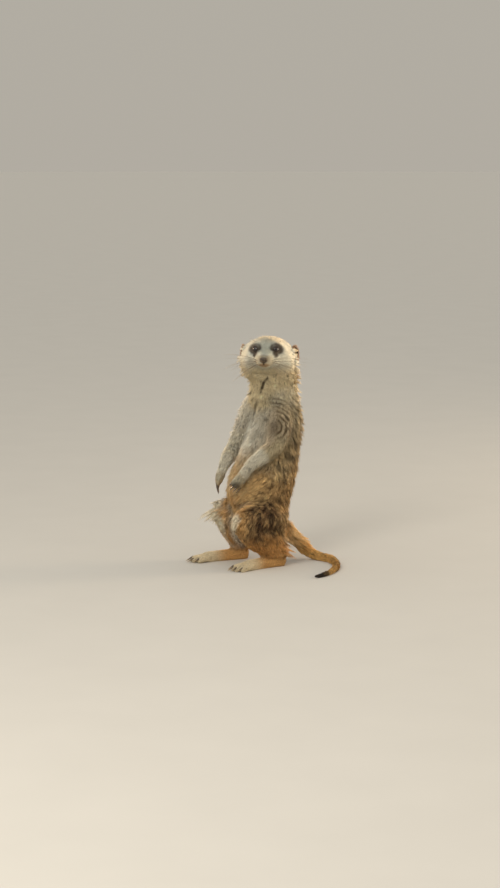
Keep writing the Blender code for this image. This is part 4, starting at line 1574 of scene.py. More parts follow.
@dataclass
class CoatPiece:
    """One piece of the coat: the regions it covers and how many locks it may have."""

    name: str
    regions: tuple
    cut: Cut
    locks: int
    slot: str
    lines: tuple  # middle lines, to unwrap the skin round
    seed: int
    where: Side = Side.ALL
    guards: float = 0.07  # the share of locks that are long thin guard hairs, standing out
    patch: float = 0.003  # the size of a lock's place on the unwrap
    ground: float = 0.0  # the skin's area, weighed by how close the locks stand

    def chosen(self, skin: Skin) -> Array:
        """Finds where on the skin this piece grows.

        Args:
            skin: the skin to grow on.

        Returns:
            Whether each of its triangles is covered.
        """
        mine = np.isin(skin.weights.argmax(axis=1), [REGIONS.index(region) for region in self.regions])
        at = skin.figure.to_head(skin.points)
        face, rear = at[:, 0] + np.abs(at[:, 1]) * 0.15 > 6, skin.normals[:, 1] >= 0.05
        covered = {Side.FACE: face, Side.CROWN: ~face, Side.FRONT: ~rear, Side.REAR: rear}
        return (mine & covered.get(self.where, True))[skin.triangles[:, 0]]

    def roots(self, skin: Skin, chance: np.random.Generator) -> tuple[Array, Array]:
        """Strews the roots of the locks over the skin.

        Args:
            skin: the skin to grow on.
            chance: the source of random numbers.

        Returns:
            The corners of the triangle that each root is on, and its share of each corner.
        """
        triangles = skin.triangles[self.chosen(skin)]
        corners = skin.points[triangles]
        area = norm(np.cross(corners[:, 1] - corners[:, 0], corners[:, 2] - corners[:, 0])) / 2
        fine = skin.growth[triangles].mean(axis=1)
        weight = area / (fine[:, 2] * np.sqrt(fine[:, 1]))
        facing = -skin.normals[triangles].mean(axis=1)[:, 2]
        weight = weight * ~((corners.mean(axis=1)[:, 2] < 1.2) & (facing > 0.4))
        bare = np.clip(skin.lips + skin.lids, 0, 1)[triangles].max(axis=1)
        weight = weight * (bare < 0.35)
        self.ground = float(weight.sum())
        pick = chance.choice(len(triangles), self.locks, p=weight / weight.sum())
        a, b = np.sqrt(chance.random(self.locks)), chance.random(self.locks)
        return triangles[pick], np.stack([1 - a, a * (1 - b), a * b], axis=1)

    def grow(self, skin: Skin, keep_out: "KeepOut") -> Object:
        """Grows the locks.

        Args:
            skin: the skin to grow on.
            keep_out: the bare parts that no lock starts in.

        Returns:
            The finished piece.
        """
        chance = np.random.default_rng(self.seed)
        corners, shares = self.roots(skin, chance)

        def at_root(values: Array) -> Array:
            """A skin field at the roots."""
            return (values[corners] * shares[..., None]).sum(axis=1)

        root = at_root(skin.points)
        keep = keep_out.clear(root)
        corners, shares, root = corners[keep], shares[keep], root[keep]
        count = len(root)
        normal, growth = unit(at_root(skin.normals)), at_root(skin.growth)
        depth, length, width, clump, draw, stand = growth.T[:6]
        lie = at_root(skin.lie)
        stray = np.stack([noise(root, 7, 20 + k) for k in range(3)], axis=1) * 0.22
        lie = lie + stray + chance.normal(0, 0.10, (count, 3))
        lie = unit(flatten(lie, normal))

        # Locks near one another draw to one tip, and each such clump has its own height and shade.
        close = count / self.ground / (width * np.sqrt(length))
        seeds = np.flatnonzero(chance.random(count) < np.clip(1 / (close * clump**2), 0.004, 0.5))
        tree = KDTree(len(seeds))
        for i, place in enumerate(root[seeds]):
            tree.insert(Vector(place), i)
        tree.balance()
        lead = np.array([tree.find(Vector(place))[1] for place in root])
        height = chance.uniform(0.68, 1.12, len(seeds))[lead] * chance.uniform(0.85, 1.08, count)
        shade = chance.normal(0, 0.06, len(seeds))[lead] + chance.normal(0, 0.05, count)
        toss = chance.random(len(seeds))[lead]
        spike = np.clip(chance.random(len(seeds))[lead] * 1.8 - 0.8, 0, 1)
        guard = chance.random(count) < self.guards
        height = np.where(guard, height + chance.uniform(0.35, 0.75, count), height)
        width = np.where(guard, width * 0.65, width)
        draw = draw * chance.uniform(0.5, 1.2, count) * np.where(guard, 0.3, 1.0)
        length = length * chance.uniform(0.72, 1.15, count) * (1 - spike * np.clip(stand / 12, 0, 0.4))

        middle, middle_out = self.settle(skin, root + lie * (length * 0.5)[:, None])
        tip, tip_out = self.settle(skin, root + lie * length[:, None])
        flung = growth[:, 6:] * (0.15 + 0.85 * spike)[:, None]
        risen = depth * height
        tip_top = tip + tip_out * (risen + stand * spike)[:, None] + flung
        mid_top = middle + middle_out * (risen * 0.62 + stand * spike * 0.35)[:, None] + flung * 0.3
        tip_top = tip_top + (tip_top[seeds][lead] - tip_top) * draw[:, None]
        mid_top = mid_top + (mid_top[seeds][lead] - mid_top) * (draw * 0.35)[:, None]
        root = root - normal * 0.35

        weights = at_root(skin.weights)
        base_tip, dark = skin.markings.paint(tip, tip_out, weights)
        # Painted shade: the hair along the partings of the fingers and toes is darkened.
        base_tip = base_tip * (1 - at_root(skin.parting[:, None]) * 0.7)
        base_mid, _ = skin.markings.paint(middle, middle_out, weights)
        colours = self.band((base_mid, base_tip), dark, shade, toss, chance)
        return self.cut_locks(skin, (root, mid_top, tip_top), (normal, tip_out), width, colours)

    @staticmethod
    def settle(skin: Skin, places: Array) -> tuple[Array, Array]:
        """Brings places back to the skin.

        Args:
            skin: the skin.
            places: where the locks would be on flat ground.

        Returns:
            The nearest places on the skin, and which way it faces there.
        """
        found = [skin.tree.find_nearest(Vector(place)) for place in places]
        return np.array([f[0][:] for f in found]), np.array([f[1][:] for f in found])

    @staticmethod
    def band(base: tuple, dark: Array, shade: Array, toss: Array, chance: np.random.Generator) -> Array:
        """Colours each lock from its root to its tip.

        Args:
            base: the coat's colour at each lock's middle, and at its tip.
            dark: the share of hairs with dark bands.
            shade: how much lighter or darker each lock is.
            toss: a random share for each clump, that makes whole clumps dark or pale.
            chance: the source of random numbers.

        Returns:
            The colours at root, middle and tip of each lock.
        """
        middle, tip = base
        count = len(tip)
        streak = np.where(toss < dark * 0.42, 0.50, np.where(toss > 1 - dark * 0.35, 1.35, 1.0))
        light = ((1 + shade) * streak)[:, None]
        inky = chance.random(count) < dark * 0.55
        pale = ~inky & (chance.random(count) < 0.30 + dark * 0.35)
        ends = tip * light * 1.08
        ends = np.where(inky[:, None], tip * 0.30 * light, ends)
        bright = np.array((0.125, 0.102, 0.066)) * (0.2 + dark)[:, None]
        ends = np.where(pale[:, None], tip * light * 1.10 + bright, ends)
        mids = middle * light * 0.94
        mids = np.where((dark > 0.4)[:, None], mids * 0.80, mids)
        roots = middle * light * (0.72 - dark[:, None] * 0.40) * (1.0, 0.94, 0.85)
        return np.clip(np.stack([roots, mids, ends], axis=1), 0.004, 0.95)

    def cut_locks(self, skin: Skin, path: tuple, ways: tuple, width: Array, colours: Array) -> Object:
        """Cuts the locks as small solids.

        Args:
            skin: the skin that they grow on.
            path: root, middle and tip of each lock.
            ways: which way the skin faces at root and tip.
            width: each lock's width.
            colours: its colours at root, middle and tip.

        Returns:
            The finished piece.
        """
        root, middle, tip = path
        count = len(root)
        across = unit(np.cross(tip - root, ways[0]))
        turns = np.radians((90, 210, 330))

        def ring(centre: Array, out: Array, size: float) -> Array:
            """Three points round a lock."""
            wide = across[:, None] * (np.cos(turns)[None, :, None] * (width * size)[:, None, None])
            tall = out[:, None] * (np.sin(turns)[None, :, None] * (width * size * 0.55)[:, None, None])
            return centre[:, None] + wide + tall

        # Each face has three corners, and a place for each on the lock's patch of the unwrap.
        faces, spread = [(0, 2, 1)], [((0, 0.0), (0.67, 0.0), (0.33, 0.12))]
        for k in range(3):
            n, a, b, c = (k + 1) % 3, k / 3, (k + 1) / 3, (k + 0.5) / 3
            if self.cut is Cut.BENT:
                faces += [(k, n, 3 + n), (k, 3 + n, 3 + k), (3 + k, 3 + n, 6)]
                spread += [((a, 0), (b, 0), (b, 0.5)), ((a, 0), (b, 0.5), (a, 0.5)),
                           ((a, 0.5), (b, 0.5), (c, 1))]
            else:
                faces.append((k, n, 3))
                spread.append(((a, 0), (b, 0), (c, 1)))
        if self.cut is Cut.BENT:
            rings = [ring(root, ways[0], 0.42), ring(middle, ways[1], 0.5), tip[:, None]]
            tones = colours[:, (0, 0, 0, 1, 1, 1, 2)]
        else:
            rings = [ring(root, ways[0], 0.5), tip[:, None]]
            tones = colours[:, (1, 1, 1, 2)]
        points = np.concatenate(rings, axis=1)
        points[..., 2] = np.maximum(points[..., 2], CLEAR)
        table = np.array(faces)[None] + (np.arange(count) * points.shape[1])[:, None, None]
        piece = skin.figure.make(self.name, points.reshape(-1, 3), table.reshape(-1, 3), skin.hair)
        store_colours(piece, "coat", tones.reshape(-1, 3))
        layer = piece.data.uv_layers.new(name="OFBake")
        corners = self.unwrap(root)[:, None, None] + (np.array(spread)[None] - 0.5) * self.patch
        layer.data.foreach_set("uv", corners.reshape(-1).astype(np.float32))
        return set_in_place(piece, self.slot)

    def unwrap(self, roots: Array) -> Array:
        """Gives each lock a place of its own on an even unwrap of the skin.

        Args:
            roots: where the locks start.

        Returns:
            A place from 0 to 1 each way for each lock.
        """
        along, turn, _ = self.lines[0].measure(roots)
        if len(self.lines) == 2:  # one for the left limb and one for the right
            left = roots[:, 0] > 0
            other_along, other_turn, _ = self.lines[1].measure(roots)
            along, turn = np.where(left, along, other_along), np.where(left, turn, other_turn + 1)
        count = len(roots)
        rows = max(1, int(math.sqrt(count)))
        wide = math.ceil(count / rows)
        order = np.argsort(along, kind="stable")
        row = np.empty(count, int)
        row[order] = np.arange(count) // wide
        order = np.lexsort((turn, row))
        column = np.empty(count, int)
        column[order] = np.arange(count) % wide
        return np.stack([(column + 0.5) / wide, (row + 0.5) / rows], axis=1) * 0.99 + 0.005


def ear_turn(side: int) -> Array:
    """How an ear is turned on the head."""
    tuck, flare, lean = EAR_TURNS
    place = Matrix.Rotation(tuck * side, 3, "X") @ Matrix.Rotation(flare * side, 3, "Z")
    return np.array(place @ Matrix.Rotation(lean, 3, "Y"))


@dataclass
class EarCoat(CoatPiece):
    """The down on the ears' rims and backs, and the long cheek hairs that cross them in front."""

    crossing: float = 0.2  # the share of locks that start on the cheek
    bunches: int = 11  # how many bunches those draw into

    def grow(self, skin: Skin, keep_out: "KeepOut") -> Object:
        """Grows the locks.

        Args:
            skin: the skin to grow on.
            keep_out: not used; these locks are meant to cross the bare parts.

        Returns:
            The finished piece.
        """
        chance = np.random.default_rng(self.seed)
        from_head, bunches = skin.figure.from_head, self.bunches
        halves = []
        for side in SIDES.values():
            hand = (1, side, 1)
            count = self.locks // 2
            across = int(count * self.crossing)
            turn = chance.uniform(0, 2 * math.pi, count - across)
            out = chance.uniform(-2.8, 2.6, len(turn))
            share = np.interp(out, (-2.8, -1.4, 0.2, 1.5, 2.6), (0.78, 0.93, 1.0, 1.02, 0.97))
            ring = (np.cos(turn) * EAR_RADII[0], out * side / share, np.sin(turn) * EAR_RADII[2])
            ring = np.stack(ring, axis=1)
            root = ring * share[:, None] @ ear_turn(side).T + EAR_AT * hand
            way = unit(ring * (1, 0, 1)) + (-0.2, 0.55 * side, 0.05) + chance.normal(0, 0.25, root.shape)
            tip = root + unit(way) * chance.uniform(1.6, 3.8, len(turn))[:, None]
            bunch = chance.integers(0, bunches, across)
            place = chance.uniform(-1, 1, bunches)[bunch]
            base = (chance.uniform(5, 10, across), chance.uniform(-7, -3, across),
                    place * 7.5 + chance.normal(0, 0.9, across))
            base, _ = self.settle(skin, from_head((EAR_AT + np.stack(base, axis=1)) * hand))
            end = (chance.uniform(-5, 0, bunches)[bunch], chance.uniform(2.5, 4.5, bunches)[bunch],
                   place * 6.6 - 0.5)
            end = EAR_AT + np.stack(end, axis=1) + chance.normal(0, 0.3, (across, 3))
            halves.append((np.concatenate([from_head(root), base]),
                           np.concatenate([from_head(tip), from_head(end * hand)]),
                           np.repeat((0.0, 1.0), (len(turn), across))))
        root, tip, crosses = (np.concatenate(part) for part in zip(*halves))
        middle, out = self.settle(skin, (root + tip) / 2)
        middle = (root + tip) / 2 + out * (0.3 + crosses * 0.5)[:, None]
        tone = mix(np.tile(linear("#b8946f"), (len(root), 1)), linear("#d8c9a8"), crosses)
        tone = tone * chance.uniform(0.7, 1.2, len(root))[:, None]
        pale = np.clip(tone * 1.25 + 0.03, 0, 0.95)
        colours = np.stack([tone * 0.6, tone, pale], axis=1)
        return self.cut_locks(skin, (root, middle, tip), (out, out), np.full(len(root), 0.3), colours)


@dataclass
class KeepOut:
    """The bare parts that no lock starts in: eyes, nose and ears."""

    figure: Figure

    def __post_init__(self) -> None:
        """Sets out the balls to keep clear of."""
        at = self.figure.from_head
        self.balls = [(at(NOSE_AT), 4.3)]
        for side in SIDES.values():
            self.balls.append((at(EYE_AT * (1, side, 1)), EYE_RADIUS + 0.1))
        self.ears = [(EAR_AT + (0.5, 1.5, 0)) * (1, side, 1) for side in SIDES.values()]

    def clear(self, points: Array) -> Array:
        """Finds the points that are clear of the bare parts.

        Args:
            points: places in the maker's frame.

        Returns:
            Whether each is clear.
        """
        free = np.ones(len(points), bool)
        for centre, radius in self.balls:
            free &= norm(points - centre) > radius
        head = self.figure.to_head(points)
        for ear in self.ears:
            free &= norm((head - ear) / (EAR_RADII * 0.95)) > 1
        return free


# ---------------- face


@dataclass
class Eyes:
    """The eyeballs, each with a bulging cornea, and the dark rims of the lids."""

    figure: Figure
    skin: Skin
    rings: int = 40
    spokes: int = 48
    iris: float = 0.72  # radians from the middle of the pupil to the edge of the iris
    cornea: float = 0.42  # mm that the cornea bulges
    rim: float = 0.48  # mm, half the thickness of a lid's edge
    lid_rings: int = 64
    lid_sides: int = 10

    def eyeball(self, word: str, material: Material) -> Object:
        """Makes one eyeball.

        Args:
            word: left or right.
            material: its finish.

        Returns:
            The finished piece.
        """
        opening = self.skin.openings[word]
        gaze = opening.gaze
        across = unit(np.cross(UP, gaze))
        over = np.cross(gaze, across)
        off = np.linspace(0, math.pi, self.rings + 1) ** 1.25 / math.pi**0.25
        turn = np.linspace(0, 2 * math.pi, self.spokes, endpoint=False)
        places, reach = [opening.middle + gaze * (EYE_RADIUS + self.cornea)], [0.0]
        for angle in off[1:-1]:
            bulge = self.cornea * max(0.0, 1 - (angle / 0.78) ** 2)
            ring = across[None] * np.cos(turn)[:, None] + over[None] * np.sin(turn)[:, None]
            ring = ring * math.sin(angle)
            places += list(opening.middle + (ring + gaze * math.cos(angle)) * (EYE_RADIUS + bulge))
            # The pupil is wider than it is tall.
            squeeze = np.where(angle < 0.5, 1 / (1 + 0.35 * np.cos(turn) ** 2), 1.0)
            reach += list(np.clip(angle / self.iris * 0.68 * squeeze, 0, 1))
        places.append(opening.middle - gaze * EYE_RADIUS)
        reach.append(1.0)
        faces = fan(0, 1, self.spokes) + ring_faces(self.rings - 1, self.spokes, 1, flip=True)
        faces += fan(len(places) - 1, 1 + (self.rings - 2) * self.spokes, self.spokes, flip=True)
        piece = self.figure.make(f"eyeball_{word}", np.array(places), faces, material)
        store_values(piece, "reach", np.array(reach))
        return set_in_place(piece, "eye_wet", f"eye_{word}")

    def lid(self, word: str, material: Material) -> Object:
        """Makes the rim of one eye's lids.

        Args:
            word: left or right.
            material: its finish.

        Returns:
            The finished piece.
        """
        opening = self.skin.openings[word]
        turn = np.linspace(0, 2 * math.pi, self.lid_rings, endpoint=False)
        edge = opening.edge(turn)
        thick = self.rim * (1 + 0.35 * np.clip(np.sin(turn), 0, 1))
        middle = opening.place(edge + 0.02, turn, EYE_RADIUS + 0.28)
        out = unit(middle - opening.middle)
        along = unit(np.roll(middle, -1, axis=0) - np.roll(middle, 1, axis=0))
        over = np.cross(out, along)
        round_it = np.linspace(0, 2 * math.pi, self.lid_sides, endpoint=False)
        points = middle[:, None] + (
            over[:, None] * np.cos(round_it)[None, :, None] * 0.9
            + out[:, None] * np.sin(round_it)[None, :, None]) * thick[:, None, None]
        faces = ring_faces(self.lid_rings, self.lid_sides, closed=True)
        piece = self.figure.make(f"lid_rim_{word}", points.reshape(-1, 3), faces, material)
        return set_in_place(piece, "eye_wet")

    def build(self) -> None:
        """Makes both eyes and their lids."""
        wet = WetEye().material()
        rim = BareLeather("lid_skin_bare", "#15100d", "#2c2019", 0.35, 0.42, 0.05).material()
        for word in SIDES:
            self.eyeball(word, wet)
            self.lid(word, rim)


@dataclass
class Nose:
    """The nose pad, with its two comma-shaped nostrils and the groove between them."""

    figure: Figure
    rings: int = 48
    spokes: int = 72
    nostril: tuple = (  # hole and slit: place from the pad's middle, squeeze each way, width and depth
        ((2.2, 1.9, -0.35), (0.55, 1.0, 1.25), 0.95, 1.7),
        ((1.2, 3.5, 0.15), (0.6, 0.62, 1.9), 0.9, 1.0),
    )

    def build(self) -> Object:
        """Makes the nose pad.

        Returns:
            The finished piece.
        """
        off = np.linspace(0.02, math.pi - 0.02, self.rings)
        turn = np.linspace(0, 2 * math.pi, self.spokes, endpoint=False)
        grid_off, grid_turn = np.meshgrid(off, turn, indexing="ij")
        way = np.stack([np.cos(grid_off), np.sin(grid_off) * np.cos(grid_turn),
                        np.sin(grid_off) * np.sin(grid_turn)], axis=-1).reshape(-1, 3)
        local = np.sign(way) * np.abs(way) ** 0.88 * NOSE_RADII * (1.05, 1.0, 1.0)
        # The pad is broad above and narrows to the lip.
        local[:, 1] *= 1 - 0.28 * ramp(-local[:, 2], 0.0, 3.4)
        depth = np.zeros(len(local))
        for side in SIDES.values():
            for at, squeeze, wide, deep in self.nostril:
                gap = (local - np.array(at) * (1, side, 1)) * squeeze
                depth += deep * np.exp(-((norm(gap) / wide) ** 2))
        groove = np.exp(-((local[:, 1] / 0.42) ** 2)) * ramp(local[:, 0], 0.3, 1.6)
        depth += groove * (0.22 + 0.35 * ramp(-local[:, 2], -0.5, 2.5))
        local = local - way * depth[:, None] * (0.9, 0.45, 0.35)
        points = self.figure.from_head(NOSE_AT + local)
        faces = [list(range(self.spokes)), *ring_faces(self.rings, self.spokes, flip=True)]
        faces.append(list(range((self.rings - 1) * self.spokes, self.rings * self.spokes))[::-1])
        leather = BareLeather("nose_leather_cobbled", "#2a2017", "#75634b", 0.55, 0.38, 0.14).material()
        return set_in_place(self.figure.make("nose_pad", points, faces, leather), "nose_leather", "nose")


@dataclass
class Ears:
    """Small round ears low on the head, each a cup with a rolled rim and folds that can close it."""

    figure: Figure
    spokes: int = 64
    # The cup from its root behind, over the rim and down inside: the share of the ear's radii, and
    # how far out from the head, in millimetres.
    profile: tuple = (
        (0.55, -3.4), (0.78, -2.8), (0.93, -1.4), (1.0, 0.2), (1.02, 1.5), (1.0, 2.4), (0.95, 2.7),
        (0.89, 2.4), (0.84, 1.4), (0.77, 0.5), (0.66, -0.1), (0.53, -0.6), (0.38, -0.9), (0.2, -1.1),
    )
    warm_rows: int = 7  # the rows of faces on the back and the rim

    def ear(self, word: str, material: Material, rim_skin: Material) -> Object:
        """Makes one ear.

        Args:
            word: left or right.
            material: the dark finish inside the cup.
            rim_skin: the warm finish of the back and the rolled rim.

        Returns:
            The finished piece.
        """
        side = SIDES[word]
        turn = np.linspace(0, 2 * math.pi, self.spokes, endpoint=False)
        # The rim stands highest behind and above, and dips in front where the cup opens.
        rim = 1 - 0.55 * np.exp(-((np.angle(np.exp(1j * (turn + 0.55))) / 0.65) ** 2))
        points = []
        for share, out in self.profile:
            lift = out * rim if out > 0 else np.full(self.spokes, out)
            if share < 0.9 and out > -2.0:
                crumple = 0.75 * np.sin(turn * 3 + 0.6) * (1 - abs(share - 0.62) / 0.4)
                lift = lift + (crumple if abs(share - 0.62) < 0.4 else 0) - (1 - rim) * 1.2
            points.append(np.stack([np.cos(turn) * EAR_RADII[0] * share, lift * side,
                                    np.sin(turn) * EAR_RADII[2] * share], axis=1))
        points.append(np.array([[0.0, -1.2 * side, 0.0], [0.0, -3.8 * side, 0.0]]))
        local = np.concatenate(points) @ ear_turn(side).T + EAR_AT * (1, side, 1)
        rows, spokes = len(self.profile), self.spokes
        faces = ring_faces(rows, spokes) + fan(rows * spokes, (rows - 1) * spokes, spokes)
        faces += fan(rows * spokes + 1, 0, spokes, flip=True)
        if side < 0:
            faces = [face[::-1] for face in faces]
        piece = self.figure.make(f"ear_cup_{word}", self.figure.from_head(local), faces, material)
        piece.data.materials.append(rim_skin)
        warm = np.arange(len(faces)) < self.warm_rows * spokes
        piece.data.polygons.foreach_set("material_index", warm.astype(np.int32))
        return set_in_place(piece, "ear_black", f"ear_{word}")

    def build(self) -> None:
        """Makes both ears."""
        leather = BareLeather("ear_leather_downy", "#1a1410", "#3d2c22", 0.5, 0.72, 0.08).material()
        rim_skin = BareLeather("ear_rim_leather", "#7d5a45", "#c09a7c", 0.5, 0.7, 0.06).material()
        for word in SIDES:
            self.ear(word, leather, rim_skin)


@dataclass
class Whiskers:
    """Bristles on the lips, cheeks and brows."""

    figure: Figure
    skin: Skin
    seed: int = 41
    radius: float = 0.15  # mm at the root

    def starts(self) -> list:
        """Sets out the whiskers of one side.

        Returns:
            Where each starts on the head, its direction there and its length.
        """
        lips = [((33.5 - 2.2 * i, 5.6 + 0.75 * i, -8.2 - 1.5 * row + 0.2 * i),
                 (0.50 - 0.16 * i, 0.85, 0.02 - 0.22 * row + 0.06 * i), 25 + 4.6 * i - 2.5 * row)
                for row in range(4) for i in range(5)]
        brows = [((11 + 1.2 * i, 11 + 1.8 * i, 10.5), (0.35, 0.55, 0.6), 12 - 1.5 * i) for i in range(3)]
        cheeks = [((6, 24, -10 - 3 * i), (-0.1, 0.9, -0.35), 18) for i in range(2)]
        return lips + brows + cheeks

    def build(self) -> Object:
        """Makes all the whiskers.

        Returns:
            The finished piece.
        """
        chance = np.random.default_rng(self.seed)
        parts, reach = [], []
        for side in SIDES.values():
            for at, way, length in self.starts():
                near = self.figure.from_head(np.array(at) * (1, side, 1))
                root = np.array(self.skin.tree.find_nearest(Vector(near))[0][:])
                way = self.figure.turn_from_head(np.array(way) * (1, side, 1))
                way = unit(way + chance.normal(0, 0.07, 3))
                length = length * chance.uniform(0.85, 1.15)
                share = np.linspace(0, 1, 9)[:, None]
                back = -self.figure.forward * 0.22 - UP * chance.uniform(0.10, 0.26)
                path = root - way * 0.6 + way * length * share + back * length * share**2
                thick = self.radius * (1 - share[:, 0] * 0.85)
                parts.append(sweep(path, thick, thick, UP, 4))
                reach.append(np.repeat(share[:, 0], 4))
        points, faces = gather(parts)
        piece = self.figure.make("whiskers", points, faces, Bristle().material())
        store_values(piece, "reach", np.concatenate(reach))
        return set_in_place(piece, "horn")


# ---------------- claws


@dataclass
class Claws:
    """Digging claws: long and curved on the hands, shorter on the feet."""

    figure: Figure
    sides: int = 12
    steps: int = 12
    stretch: float = 0.9  # mm that a point reaches past its solid's middle line
    bed: float = 1.2  # mm that a claw sits in the skin

    def path(self, node: str, home: str) -> tuple[Array, float]:
        """Finds a claw's middle line from its solid.

        Args:
            node: the claw's solid.
            home: the solid of its hand or foot.

        Returns:
            Its root, middle and tip, and its half width at the root.
        """
        places = self.figure.corners_of(node)
        middle = places.mean(axis=0)
        _, _, axes = np.linalg.svd(places - middle)
        along = (places - middle) @ axes[0]
        hand = self.figure.middle_of(home)
        low, high = np.quantile(along, (0.12, 0.88))
        ends = [places[along < low].mean(axis=0), places[along > high].mean(axis=0)]
        if norm(ends[0] - hand) > norm(ends[1] - hand):
            ends.reverse()
        centre = places[np.abs(along) < (along.max() - along.min()) * 0.2].mean(axis=0)
        off = (places - middle) @ axes[1]
        return np.array([ends[0], centre, ends[1]]), float(off.max() - off.min()) / 2

    def claw(self, node: str, home: str) -> tuple[Array, list, Array]:
        """Shapes one claw.

        Args:
            node: the claw's solid.
            home: the solid of its hand or foot.

        Returns:
            Its points, its faces, and how far along each point is.
        """
        (root, centre, tip), half = self.path(node, home)
        tip = tip + unit(tip - centre) * self.stretch
        root = root - unit(centre - root) * self.bed
        share = np.linspace(0, 1, self.steps)[:, None]
        bend = 2 * centre - (root + tip) / 2
        path = root * (1 - share) ** 2 + bend * 2 * share * (1 - share) + tip * share**2
        across = np.cross(tip - root, centre - (root + tip) / 2)
        across = unit(across) if norm(across) > 0.3 else unit(np.cross(tip - root, UP))
        taper = (1 - share[:, 0] ** 1.7) * 0.94 + 0.06
        points, faces = sweep(path, half * 0.78 * taper, half * 1.05 * taper, across, self.sides)
        return points, faces, np.repeat(share[:, 0], self.sides)

    def build(self) -> None:
        """Makes the claws of each hand and foot."""
        horn = {
            "hand": ClawHorn("claw_horn_dark", "#1c130d", "#5a4330").material(),
            "foot": ClawHorn("claw_horn_worn", "#3a2a1c", "#b39a72").material(),
        }
        for limb, word in itertools.product(horn, SIDES):
            nodes = claws_of(limb, word)
            made = [self.claw(node, f"{limb}_{word}") for node in nodes]
            points, faces = gather([claw[:2] for claw in made])
            points[:, 2] = np.maximum(points[:, 2], CLEAR)
            piece = self.figure.make(f"{limb}_claws_{word}", points, faces, horn[limb])
            store_values(piece, "reach", np.concatenate([claw[2] for claw in made]))
            set_in_place(piece, "horn", *nodes)


# ---------------- the studio


@dataclass
class Studio:
    """The floor, the lights and the camera."""

    figure: Figure
    azimuth: float = 62.0  # degrees round from the front of the chest
    elevation: float = 8.0
    distance: float = 2500.0  # mm from the animal
    shown_height: float = 1021.2  # mm of the scene that the picture takes in, at the animal
    sensor: float = 36.0  # mm high
    aim: tuple = (-13.8, 135.7)  # mm right of and up from the origin, seen from the camera
    floor_rings: tuple = (0.5, 1.5, 6.0, 30.0)  # metres out from the animal
    floor_sides: int = 96
    lit: Collection | None = None  # what the beams light

    def axes(self) -> tuple[Array, Array, Array]:
        """Works out the camera's directions.

        Returns:
            The directions back to the camera, to its right and up.
        """
        a, e = math.radians(self.azimuth), math.radians(self.elevation)
        back = np.array((math.sin(a) * math.cos(e), -math.cos(a) * math.cos(e), math.sin(e)))
        right = np.array((math.cos(a), math.sin(a), 0.0))
        return back, right, np.cross(back, right)

    def camera(self) -> None:
        """Sets up the camera."""
        back, right, up = self.axes()
        target = right * self.aim[0] + up * self.aim[1]
        data = bpy.data.cameras.new("camera")
        data.sensor_fit, data.sensor_height, data.sensor_width = "VERTICAL", self.sensor, self.sensor
        data.lens = self.sensor * self.distance / self.shown_height
        data.clip_start, data.clip_end = 0.05, 60.0
        camera = put("camera", data)
        camera.location = Vector(self.figure.metres(target + back * self.distance))
        camera.rotation_mode = "QUATERNION"
        camera.rotation_quaternion = Vector(-back).to_track_quat("-Z", "Y")
        bpy.context.scene.camera = camera

    def hang(self, data: Light, way: tuple, energy: float, colour: str) -> Object:
        """Hangs a light that faces the animal.

        Args:
            data: the light.
            way: its place seen from the camera: right, up and toward the camera, in metres.
            energy: its power, in watts.
            colour: its colour.

        Returns:
            The lamp.
        """
        data.energy, data.color = energy, linear(colour)
        lamp = put(data.name, data)
        back, right, up = (Vector(axis) for axis in self.axes())
        middle = Vector(self.figure.metres((0, 0, 150)))
        lamp.location = middle + right * way[0] + up * way[1] + back * way[2]
        lamp.rotation_mode = "QUATERNION"
        lamp.rotation_quaternion = (middle - lamp.location).to_track_quat("-Z", "Y")
        return lamp

    def panel(self, name: str, way: tuple, size: float, energy: float, colour: str) -> None:
        """Hangs a soft panel light of a size in metres, as hang() does."""
        data = bpy.data.lights.new(name, "AREA")
        data.shape, data.size = "DISK", size
        self.hang(data, way, energy, colour)

    def beam(self, name: str, way: tuple, size: float, energy: float, colour: str) -> None:
        """Hangs a soft-edged spotlight, screened off from the floor, as hang() does."""
        data = bpy.data.lights.new(name, "SPOT")
        data.shadow_soft_size, data.spot_size, data.spot_blend = size, math.radians(15), 0.8
        self.hang(data, way, energy, colour).light_linking.receiver_collection = self.lit

    def build(self) -> None:
        """Makes the floor, the lights and the camera."""
        turns = np.linspace(0, 2 * math.pi, self.floor_sides, endpoint=False)
        points = [[0.0, 0.0, 0.0]]
        for radius in self.floor_rings:
            points += [[radius * math.cos(a), radius * math.sin(a), 0.0] for a in turns]
        faces = fan(0, 1, len(turns)) + ring_faces(len(self.floor_rings), len(turns), 1, flip=True)
        mesh = bpy.data.meshes.new("studio_floor")
        mesh.from_pydata(points, [], faces)
        mesh.materials.append(SprayedBoard().material())
        floor = put("studio_floor", mesh)
        floor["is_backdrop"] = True
        self.lit = bpy.data.collections.new("lit_by_beams")
        for piece in bpy.context.scene.objects:
            if piece.type == "MESH" and piece is not floor:
                self.lit.objects.link(piece)
        world = bpy.data.worlds.new("studio")
        world.use_nodes = True
        # The wall of the studio is as bright as the floor, and its ceiling is brighter.
        tree = world.node_tree
        place = add_node(tree, "TexCoord")
        split = add_node(tree, "SeparateXYZ", {"Vector": (place, "Generated")})
        sky = set_ramp(add_node(tree, "ValToRGB", {"Fac": (split, "Z")}), (
            (0.0, "#bfb9ae"), (0.10, "#bfbaaf"), (0.55, "#f2f1ee"), (1.0, "#ffffff")))
        glow = tree.nodes["Background"]
        glow.inputs["Strength"].default_value = 0.85
        link(glow, Color=(sky, "Color"))
        bpy.context.scene.world = world
        self.panel("key", (-0.7, 0.65, 1.6), 0.8, 15, "#fffaf3")
        self.panel("side", (1.6, 0.2, -0.4), 0.6, 17, "#ffe9cc")
        self.beam("rim", (0.95, 0.45, -1.2), 0.16, 105, "#ffd2a0")
        self.beam("rim_far", (-1.1, 0.35, -1.1), 0.16, 105, "#ffe0bc")
        self.camera()


# ---------------- making it


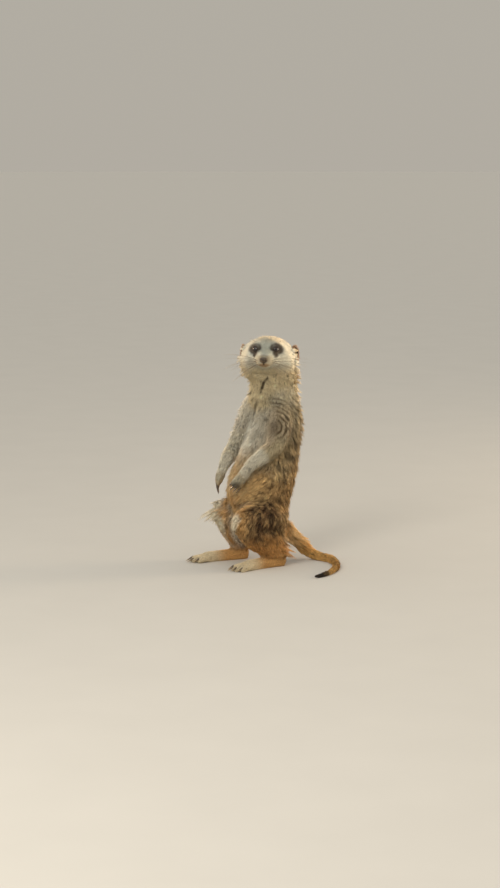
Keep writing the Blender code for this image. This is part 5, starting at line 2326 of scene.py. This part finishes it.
def coat_pieces(figure: Figure) -> list[CoatPiece]:
    """Sets out the pieces of the coat, each under two hundred thousand triangles.

    Args:
        figure: the maker's frame.

    Returns:
        The pieces, not yet grown.
    """
    head_line = ((-34, 0, -7), (-15, 0, -3), (0, 0, -1), (18, 0, -4), (40, 0, -7))
    head = (Line(figure.from_head(head_line), (0, 0, -1)),)
    trunk = (Line(TRUNK_LINE, (0, 1, 0)),)
    arms = tuple(Line(ARM_LINES[word], (-SIDES[word], 0, 0)) for word in SIDES)
    legs = tuple(Line(LEG_LINES[word], (-SIDES[word], 0, 0)) for word in SIDES)
    feet = tuple(Line(FOOT_LINES[word], (0, 0, -1)) for word in SIDES)
    return [
        CoatPiece("coat_face", (Region.HEAD,), Cut.STRAIGHT, 44000, "coat_pale", head, 1, Side.FACE),
        CoatPiece("coat_crown", (Region.HEAD,), Cut.BENT, 19500, "coat_pale", head, 2, Side.CROWN),
        EarCoat("coat_ears", (Region.HEAD,), Cut.BENT, 2600, "coat_pale", head, 11),
        CoatPiece("coat_neck", (Region.NECK,), Cut.BENT, 15500, "coat_pale", trunk, 3),
        CoatPiece("coat_chest", (Region.TRUNK,), Cut.BENT, 19500, "coat_tan", trunk, 4, Side.FRONT),
        CoatPiece("coat_back", (Region.TRUNK,), Cut.BENT, 19500, "coat_grizzled", trunk, 5, Side.REAR),
        CoatPiece("coat_arms", (Region.UPPER_ARM, Region.FOREARM), Cut.BENT, 15500, "coat_tan", arms, 6),
        CoatPiece("coat_hands", (Region.HAND,), Cut.STRAIGHT, 12500, "coat_tan", arms, 7),
        CoatPiece("coat_legs", (Region.THIGH, Region.SHANK), Cut.BENT, 19800, "coat_grizzled", legs, 8),
        CoatPiece("coat_feet", (Region.FOOT,), Cut.STRAIGHT, 21000, "coat_orange", feet, 9),
        CoatPiece("coat_tail", (Region.TAIL,), Cut.BENT, 9500, "coat_orange", (TAIL,), 10),
    ]


def main() -> None:
    """Builds the animal and the studio, one sub-assembly after another."""
    logging.basicConfig(level=logging.INFO, format="%(name)s %(message)s", stream=sys.stdout)
    bpy.context.scene.view_settings.view_transform = "Standard"
    figure = Figure.from_solids()
    skin = Skin(figure, Markings(figure), CombedHair().material())
    skin.build()
    Eyes(figure, skin).build()
    Nose(figure).build()
    Ears(figure).build()
    Claws(figure).build()
    Whiskers(figure, skin).build()
    keep_out = KeepOut(figure)
    for piece in coat_pieces(figure):
        piece.grow(skin, keep_out)
    Studio(figure).build()
    boxes = {"cad": CAD_BOX, "visual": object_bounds()}
    {name: [list(corner) for corner in box] for name, box in boxes.items()}


if __name__ == "__main__":
    main()
